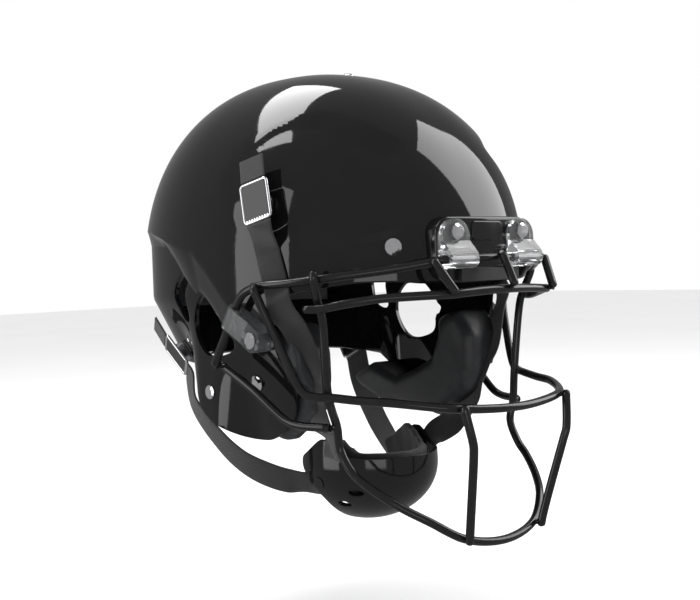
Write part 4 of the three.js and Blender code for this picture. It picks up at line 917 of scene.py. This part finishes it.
# A ribbon: the section carried along the spline, square to its tangent and turned to face the given way.
# Its coordinates are the distance across the strap and along it.
def ribbonForm(points, faces, low=0.0, high=1.0):
    spacing, step = 1.6, 0.002
    points, faces = np.asarray(points, float), np.asarray(faces, float)
    run = np.array([splineAt(points, s) for s in np.linspace(low, high, 200)])
    length = np.linalg.norm(np.diff(run, axis=0), axis=1).sum()
    rings, uvs, before, done = [], [], None, 0.0
    u, v = (strapSection * (strapWidth / 2, strapThickness / 2)).T
    for share in np.linspace(low, high, max(4, int(length / spacing)) + 1):
        middle = splineAt(points, share)
        tangent = unit(splineAt(points, min(1, share + step)) - splineAt(points, max(0, share - step)))
        normal = splineAt(faces, share)
        normal = unit(normal - tangent * np.dot(normal, tangent))
        across = np.cross(tangent, normal)
        if before is not None:
            done += np.linalg.norm(middle - before)
        before = middle
        rings.append(middle + np.outer(u, across) + np.outer(v, normal))
        uvs.append(np.stack([u, np.full(len(u), done)], axis=1))
    formPoints, formFaces = loft(rings)
    return formPoints, formFaces, np.concatenate(uvs)


def strapPiece(name, form, body, node):
    points, faces, uvs = form
    return addPiece(name, points, faces, "webbing", body, [node], sharp=50, uvs=uvs)


strapLift = strapThickness / 2 + clearance
strapFlare = 3.8
seamShare = 0.84375
seamGapShare = 0.001
upperStops = [onDome(f, z, strapLift + clearance / 2) for f, z in (
    (0.455, 0.13), (0.47, 0.07), (0.483, 0.02), (0.492, -0.03), (0.5, -0.085))]
upperStops += [
    (onDome(0.514, -0.14, 4 * strapLift)[0], faceOut(0.93, 0.33, -0.05)),
    (onDome(0.527, -0.2, 2.3 * strapLift)[0], faceOut(0.92, 0.36, -0.1)),
    (at(0.856, 0.541, -0.295), faceOut(0.93, 0.33, -0.1)),
    (inPad(0.306, 0.553, -0.48), faceOut(0.93, 0.33, 0.05)),
    (inPad(0.471, 0.52, -0.6), faceOut(0.93, 0.3, 0.1)),
    (inPad(0.583, 0.495, -0.72), faceOut(0.93, 0.25, 0.15)),
    (inPad(0.756, 0.495, -0.85), faceOut(0.92, 0.2, 0.2)),
    (inPad(1.156, 0.465, -0.985), faceOut(0.88, 0.2, 0.3)),
    (at(0, 0.4, -1.08) + (cup["halfWidth"] + strapFlare, 0, 0), faceOut(0.92, 0.2, 0.2)),
    onCup(0.3, 0.16, strapLift),
]
rearCupStops = [onCup(f, z, strapLift) for f, z in ((-0.2, -0.28), (0, -0.24), (0.2, -0.2))]
rearStops = [
    (at(0.725, -0.335, -0.8), faceOut(0.93, -0.35, -0.1)),
    (at(0.669, -0.175, -1.047), faceOut(0.96, -0.2, -0.1)),
    (at(0.619, -0.045, -1.175), faceOut(0.97, -0.1, -0.1)),
    (at(0.55, 0.067, -1.25), faceOut(0.98, 0, -0.05)),
    (at(0.475, 0.15, -1.29), faceOut(0.98, -0.1, -0.1)),
    *rearCupStops,
]
halfBuckle = buckle["length"] / 2 + 2 * clearance
for side, sign in sides.items():
    for row, stops in (("upper", upperStops), ("rear", rearStops)):
        place, facing = snapAxes[f"{row}_{side}"]
        rod = buckle["rod"]
        points = [place(0, -halfBuckle, rod / 2), place(0, -halfBuckle - rod, rod / 2)]
        points += [onSide(sign, point) for point, _ in stops]
        faces = [facing, facing] + [onSide(sign, face) for _, face in stops]
        if row == "upper":
            root = ribbonForm(points, faces, 0, seamShare)
            strapPiece(f"upper_webbing_{side}", root, "helmet", f"upper_strap_{side}")
            low, node = seamShare + seamGapShare, f"upper_strap_drop_{side}"
        else:
            low, node = 0.0, f"rear_strap_{side}"
        piece = strapPiece(f"{row}_fall_{side}", ribbonForm(points, faces, low, 1), None, node)
        ends = [rowPoints([splineAt(np.array(points), share)])[0] for share in (low, 1)]
        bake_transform(piece)
        tail = [place(0, halfBuckle + share * buckle["tail"], rod / 2 - share * strapThickness)
                for share in (0, 0.5, 1)]
        form = ribbonForm(tail, [facing] * 3)
        strapPiece(f"{row}_tail_{side}", form, f"{row}_{side}_snap", f"{row}_strap_tail_{side}")
print("stage: straps")

# Chin cup: a bowl cut to its side outline, then thickened inward
cupShares = [
    (1.3, 0.2), (0.5, 0.23), (0.38, 0.34), (0.2, 0.52), (0.1, 0.56), (0, 0.5), (-0.2, 0.3), (-0.36, 0.18),
    (-0.36, 0.02), (-0.28, -0.12), (-0.14, -0.36), (0, -0.56), (0.03, -1.3), (1.3, -1.3),
]
cupSlots = {"shares": [(0.51, -0.38), (0.27, -0.6)], "length": 9, "height": 4}


# Side view places of shares of the cup's reach and depth from its middle
def cupPlaces(shares):
    f, z = np.array(shares, float).T
    return np.stack([f * cup["reach"] - cup["centre"][1], z * cup["depth"] + cup["centre"][2]], axis=1)


# The bowl: around each level an ellipse of the cup's width and reach times its girth there. The level is the
# cosine of an even turn, so that rows crowd at the foot.
def cupSkin(columns=160, rows=70):
    turns = np.arange(columns)[None, :] * 2 * math.pi / columns
    level = np.cos(np.linspace(0.32, 0.995, rows) * math.pi)[:, None]
    girth = cupGirth(level)
    across, along = girth * np.cos(turns), -girth * np.sin(turns)
    grid = np.stack([across, along, level + 0 * turns], axis=-1)
    points = (grid * (cup["halfWidth"], cup["reach"], cup["depth"]) + cup["centre"]).reshape(-1, 3)
    faces = bandFaces(rows, columns)[:, [0, 3, 2, 1]].tolist()
    faces.append([(rows - 1) * columns + k for k in range(columns)])
    outline = softened(cupPlaces(cupShares), 2, 0.2)
    points, faces = splitAlong(points, faces, lambda p: outlineDistance(sideView(p), outline))
    for x, y in cupPlaces(cupSlots["shares"]):
        half, tall = cupSlots["length"] / 2, cupSlots["height"] / 2
        hole = softened([(x + i * half, y + j * tall) for i, j in ((-1, -1), (1, -1), (1, 1), (-1, 1))])
        points, faces = splitAlong(points, faces, lambda p: -outlineDistance(sideView(p), hole))
    return withoutLoose(points, faces)


points, faces = cupSkin()
addPiece("chinCupBowl", points, faces, "plate", "chin_cup_set", ["chin_cup"], sharp=30, mods=[
    ("SOLIDIFY", {"thickness": cup["wall"] / 1000, "offset": -1, "use_even_offset": True}),
    ("BEVEL", {"width": 0.0007, "segments": 2, "limit_method": "ANGLE", "angle_limit": math.radians(55)}),
])
print("stage: cup")


# Brow plate: a fine grid with rounded corners and edges, closed back to the shell
def domeReach(x, height):
    s = shellShape
    ring = (1 - (np.clip(height, 0, None) / s["height"]) ** s["domePower"]) ** (1 / s["domePower"])
    across = np.abs(x) / (s["halfWidth"] * ring)
    return s["frontReach"] * ring * (1 - across ** s["frontPower"]) ** (1 / s["frontPower"])


# The plate's face: sines of even turns spread the columns and rows, so that they crowd at the edges. Past the
# corner's start each column is shorter, by the corner's circle. Near the rim the face drops by an arc.
def platePiece(name, halfWidth, low, high, corner, relief, edge):
    columns, rows = 90, 40
    middle, halfHeight = (low + high) / 2, (high - low) / 2
    u, v = (np.sin(np.linspace(-1, 1, count) * math.pi / 2) for count in (columns, rows))
    x = halfWidth * u[:, None] + 0 * v[None, :]
    past = np.maximum(0, np.abs(x) - halfWidth + corner)
    z = middle + (halfHeight - corner + np.sqrt(np.maximum(corner ** 2 - past ** 2, 0.01))) * v[None, :]
    above = np.maximum(0, np.abs(z - middle) - halfHeight + corner)
    fromEdges = np.minimum(halfWidth - np.abs(x), halfHeight - np.abs(z - middle))
    inside = np.where(np.minimum(past, above) > 0, corner - np.hypot(past, above), fromEdges)
    drop = edge - np.sqrt(edge ** 2 - (edge - np.clip(inside, 0, edge)) ** 2)
    y = -(plate["reach"] - plate["sweep"] * (x / plate["halfWidth"]) ** 2 + relief - drop)
    points = np.stack([x, y, z], axis=-1).reshape(-1, 3)
    grid = np.arange(columns * rows).reshape(columns, rows)
    corners = [grid[:-1, :-1], grid[1:, :-1], grid[1:, 1:], grid[:-1, 1:]]
    rim = np.concatenate([grid[:, 0], grid[-1, 1:], grid[-2::-1, -1], grid[0, -2:0:-1]])
    back = points[rim]
    back[:, 1] = -(domeReach(back[:, 0], back[:, 2]) + 2 * clearance)
    foot = len(points) + np.arange(len(rim))
    wall = np.stack([np.roll(rim, -1), rim, foot, np.roll(foot, -1)], axis=-1)
    faces = np.stack(corners, axis=-1).reshape(-1, 4).tolist() + wall.tolist()
    points = np.concatenate([points, back])
    addPiece(name, points, faces, "plate", "helmet", ["brow_plate"], sharp=45)


panel = {"halfWidth": clips["inner"] - 4.8, "low": 20.2, "high": 33, "corner": 3.2, "relief": 1, "edge": 0.8}
platePiece("browPlate", plate["halfWidth"], plate["bottom"], plate["top"], plate["corner"], 0, 1.6)
platePiece("namePanel", **panel)
print("stage: plate")


# Pads: the solid remeshed a little smaller, swollen by cloth pressure, held near its own surface
def applied(piece):
    graph = bpy.context.evaluated_depsgraph_get()
    made = bpy.data.meshes.new_from_object(piece.evaluated_get(graph))
    piece.modifiers.clear()
    piece.data = made
    return made


def coordinates(mesh):
    flat = np.empty(len(mesh.vertices) * 3, np.float32)
    mesh.vertices.foreach_get("co", flat)
    return flat.reshape(-1, 3).astype(float)


# For each pad: the size of its voxels, how far it is drawn in and may swell back, and its look
pads = {
    "crown_pad": (4.0, 2.2, "vinyl"), "brow_pad": (3.0, 1.8, "vinyl"), "rear_pad": (3.5, 2.0, "vinyl"),
    "side_pad_right": (3.5, 2.0, "vinyl"), "side_pad_left": (3.5, 2.0, "vinyl"),
    "jaw_pad_right": (2.6, 1.5, "vinyl"), "jaw_pad_left": (2.6, 1.5, "vinyl"), "chin_pad": (1.8, 0.8, "foam"),
}
swell = {
    "quality": 4, "mass": 0.3, "tension_stiffness": 12, "compression_stiffness": 12, "use_pressure": True,
    "uniform_pressure_force": 4,
}
swellFrames = 20
padPieces = {}
for node, (voxel, shrink, look) in pads.items():
    piece = linked(f"{node}_cushion", nodes[node].data.copy())
    modify(piece, "REMESH", mode="VOXEL", voxel_size=voxel / 1000)
    modify(piece, "SMOOTH", factor=0.5, iterations=2)
    mesh = applied(piece)
    normals = np.empty(len(mesh.vertices) * 3, np.float32)
    mesh.vertex_normals.foreach_get("vector", normals)
    rest = coordinates(mesh) - normals.reshape(-1, 3) * shrink / 1000
    mesh.vertices.foreach_set("co", rest.astype(np.float32).ravel())
    mesh.update()
    padPieces[node] = (piece, rest)
    cloth = modify(piece, "CLOTH")
    for key, value in swell.items():
        setattr(cloth.settings, key, value)
    cloth.settings.effector_weights.gravity = 0
    cloth.point_cache.frame_end = swellFrames
for step in range(1, swellFrames + 1):
    bpy.context.scene.frame_set(step)
for node, (piece, rest) in padPieces.items():
    _, shrink, look = pads[node]
    mesh = applied(piece)
    moved = coordinates(mesh) - rest
    far = np.linalg.norm(moved, axis=1)
    moved *= (np.minimum(far, shrink / 1000) / np.maximum(far, 1e-9))[:, None]
    mesh.vertices.foreach_set("co", (rest + moved).astype(np.float32).ravel())
    mesh.update()
    mesh.shade_smooth()
    mesh.materials.clear()
    mesh.materials.append(looks[look])
    modify(piece, "SUBSURF", levels=1, render_levels=1)
    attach(piece, "chin_cup_set" if node == "chin_pad" else "helmet")
    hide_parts(node)
bpy.context.scene.frame_set(1)
print("stage: pads")

# CAD nodes that stay get their looks and a small bevel, whose width follows the look
keptLooks = {"brow_bumper": ("bumper", 0.9), "crown_rivet": ("chrome", 0.2)}
for side in sides:
    keptLooks.update({
        f"front_clip_{side}": ("clear", 0.7), f"front_clip_screw_{side}": ("chrome", 0.3),
        f"side_clip_{side}": ("smoky", 0.7), f"side_clip_screw_{side}": ("chrome", 0.3),
        f"side_clip_nut_{side}": ("zinc", 0.3), f"temple_screw_{side}": ("chrome", 0.3),
        f"jaw_screw_{side}": ("chrome", 0.3), f"jaw_rivet_{side}": ("chrome", 0.2),
        f"upper_snap_post_{side}": ("chrome", 0.3), f"rear_snap_post_{side}": ("chrome", 0.3),
        f"chin_rivet_{side}": ("plate", 0.3),
    })
for name, (look, width) in keptLooks.items():
    node = nodes[name]
    node.data.materials.clear()
    node.data.materials.append(looks[look])
    modify(node, "BEVEL", width=width / 1000, segments=3, limit_method="ANGLE", angle_limit=math.radians(35))
print("stage: kept nodes")

# Floor, softboxes and a pale surround
floorMesh = bpy.data.meshes.new("floor")
floorHalf, floorHeight = 6, -0.36
floorCorners = [(i * floorHalf, j * floorHalf, floorHeight) for i, j in ((-1, -1), (1, -1), (1, 1), (-1, 1))]
floorMesh.from_pydata(floorCorners, [], [(0, 1, 2, 3)])
floorPiece = linked("floor", floorMesh)
floorMesh.materials.append(surface("floorPale", (0.9, 0.9, 0.9), 0.8, 0.1, 3, colourSpread=0.01))
floorPiece.visible_glossy = False

centreAt = Vector((0, 0, -seatHeight / 1000))


# A softbox that faces the helmet: degrees round it and above it, then metres, then watts
def softbox(name, azimuth, elevation, distance, width, height, power):
    a, e = math.radians(azimuth), math.radians(elevation)
    place = centreAt + distance * Vector((math.sin(a) * math.cos(e), -math.cos(a) * math.cos(e), math.sin(e)))
    data = bpy.data.lights.new(name, "AREA")
    data.shape = "RECTANGLE"
    data.size, data.size_y, data.energy = width, height, power
    lamp = linked(name, data)
    lamp.location = place
    lamp.rotation_mode = "QUATERNION"
    lamp.rotation_quaternion = (place - centreAt).to_track_quat("Z", "Y")


softbox("keyRight", 60, 30, 1.6, 0.9, 1.6, 18)
softbox("sideLeft", -110, 10, 1.6, 0.8, 1.4, 8)
softbox("topBack", 190, 60, 1.6, 1.6, 0.5, 16)
softbox("frontLow", -40, -5, 2.4, 1.4, 0.5, 4)

world = bpy.data.worlds.new("surround")
world.use_nodes = True
bpy.context.scene.world = world
worldTree = world.node_tree
background = next(n for n in worldTree.nodes if n.type == "BACKGROUND")
path = addNode(worldTree, "ShaderNodeLightPath")
strength = addNode(worldTree, "ShaderNodeMapRange")
surround = {"plain": 1.0, "reflected": 0.3}
strength.inputs["To Min"].default_value = surround["plain"]
strength.inputs["To Max"].default_value = surround["reflected"]
worldTree.links.new(path.outputs["Is Glossy Ray"], strength.inputs["Value"])
worldTree.links.new(strength.outputs["Result"], background.inputs["Strength"])
background.inputs["Color"].default_value = (1, 1, 1, 1)
print("stage: lights")
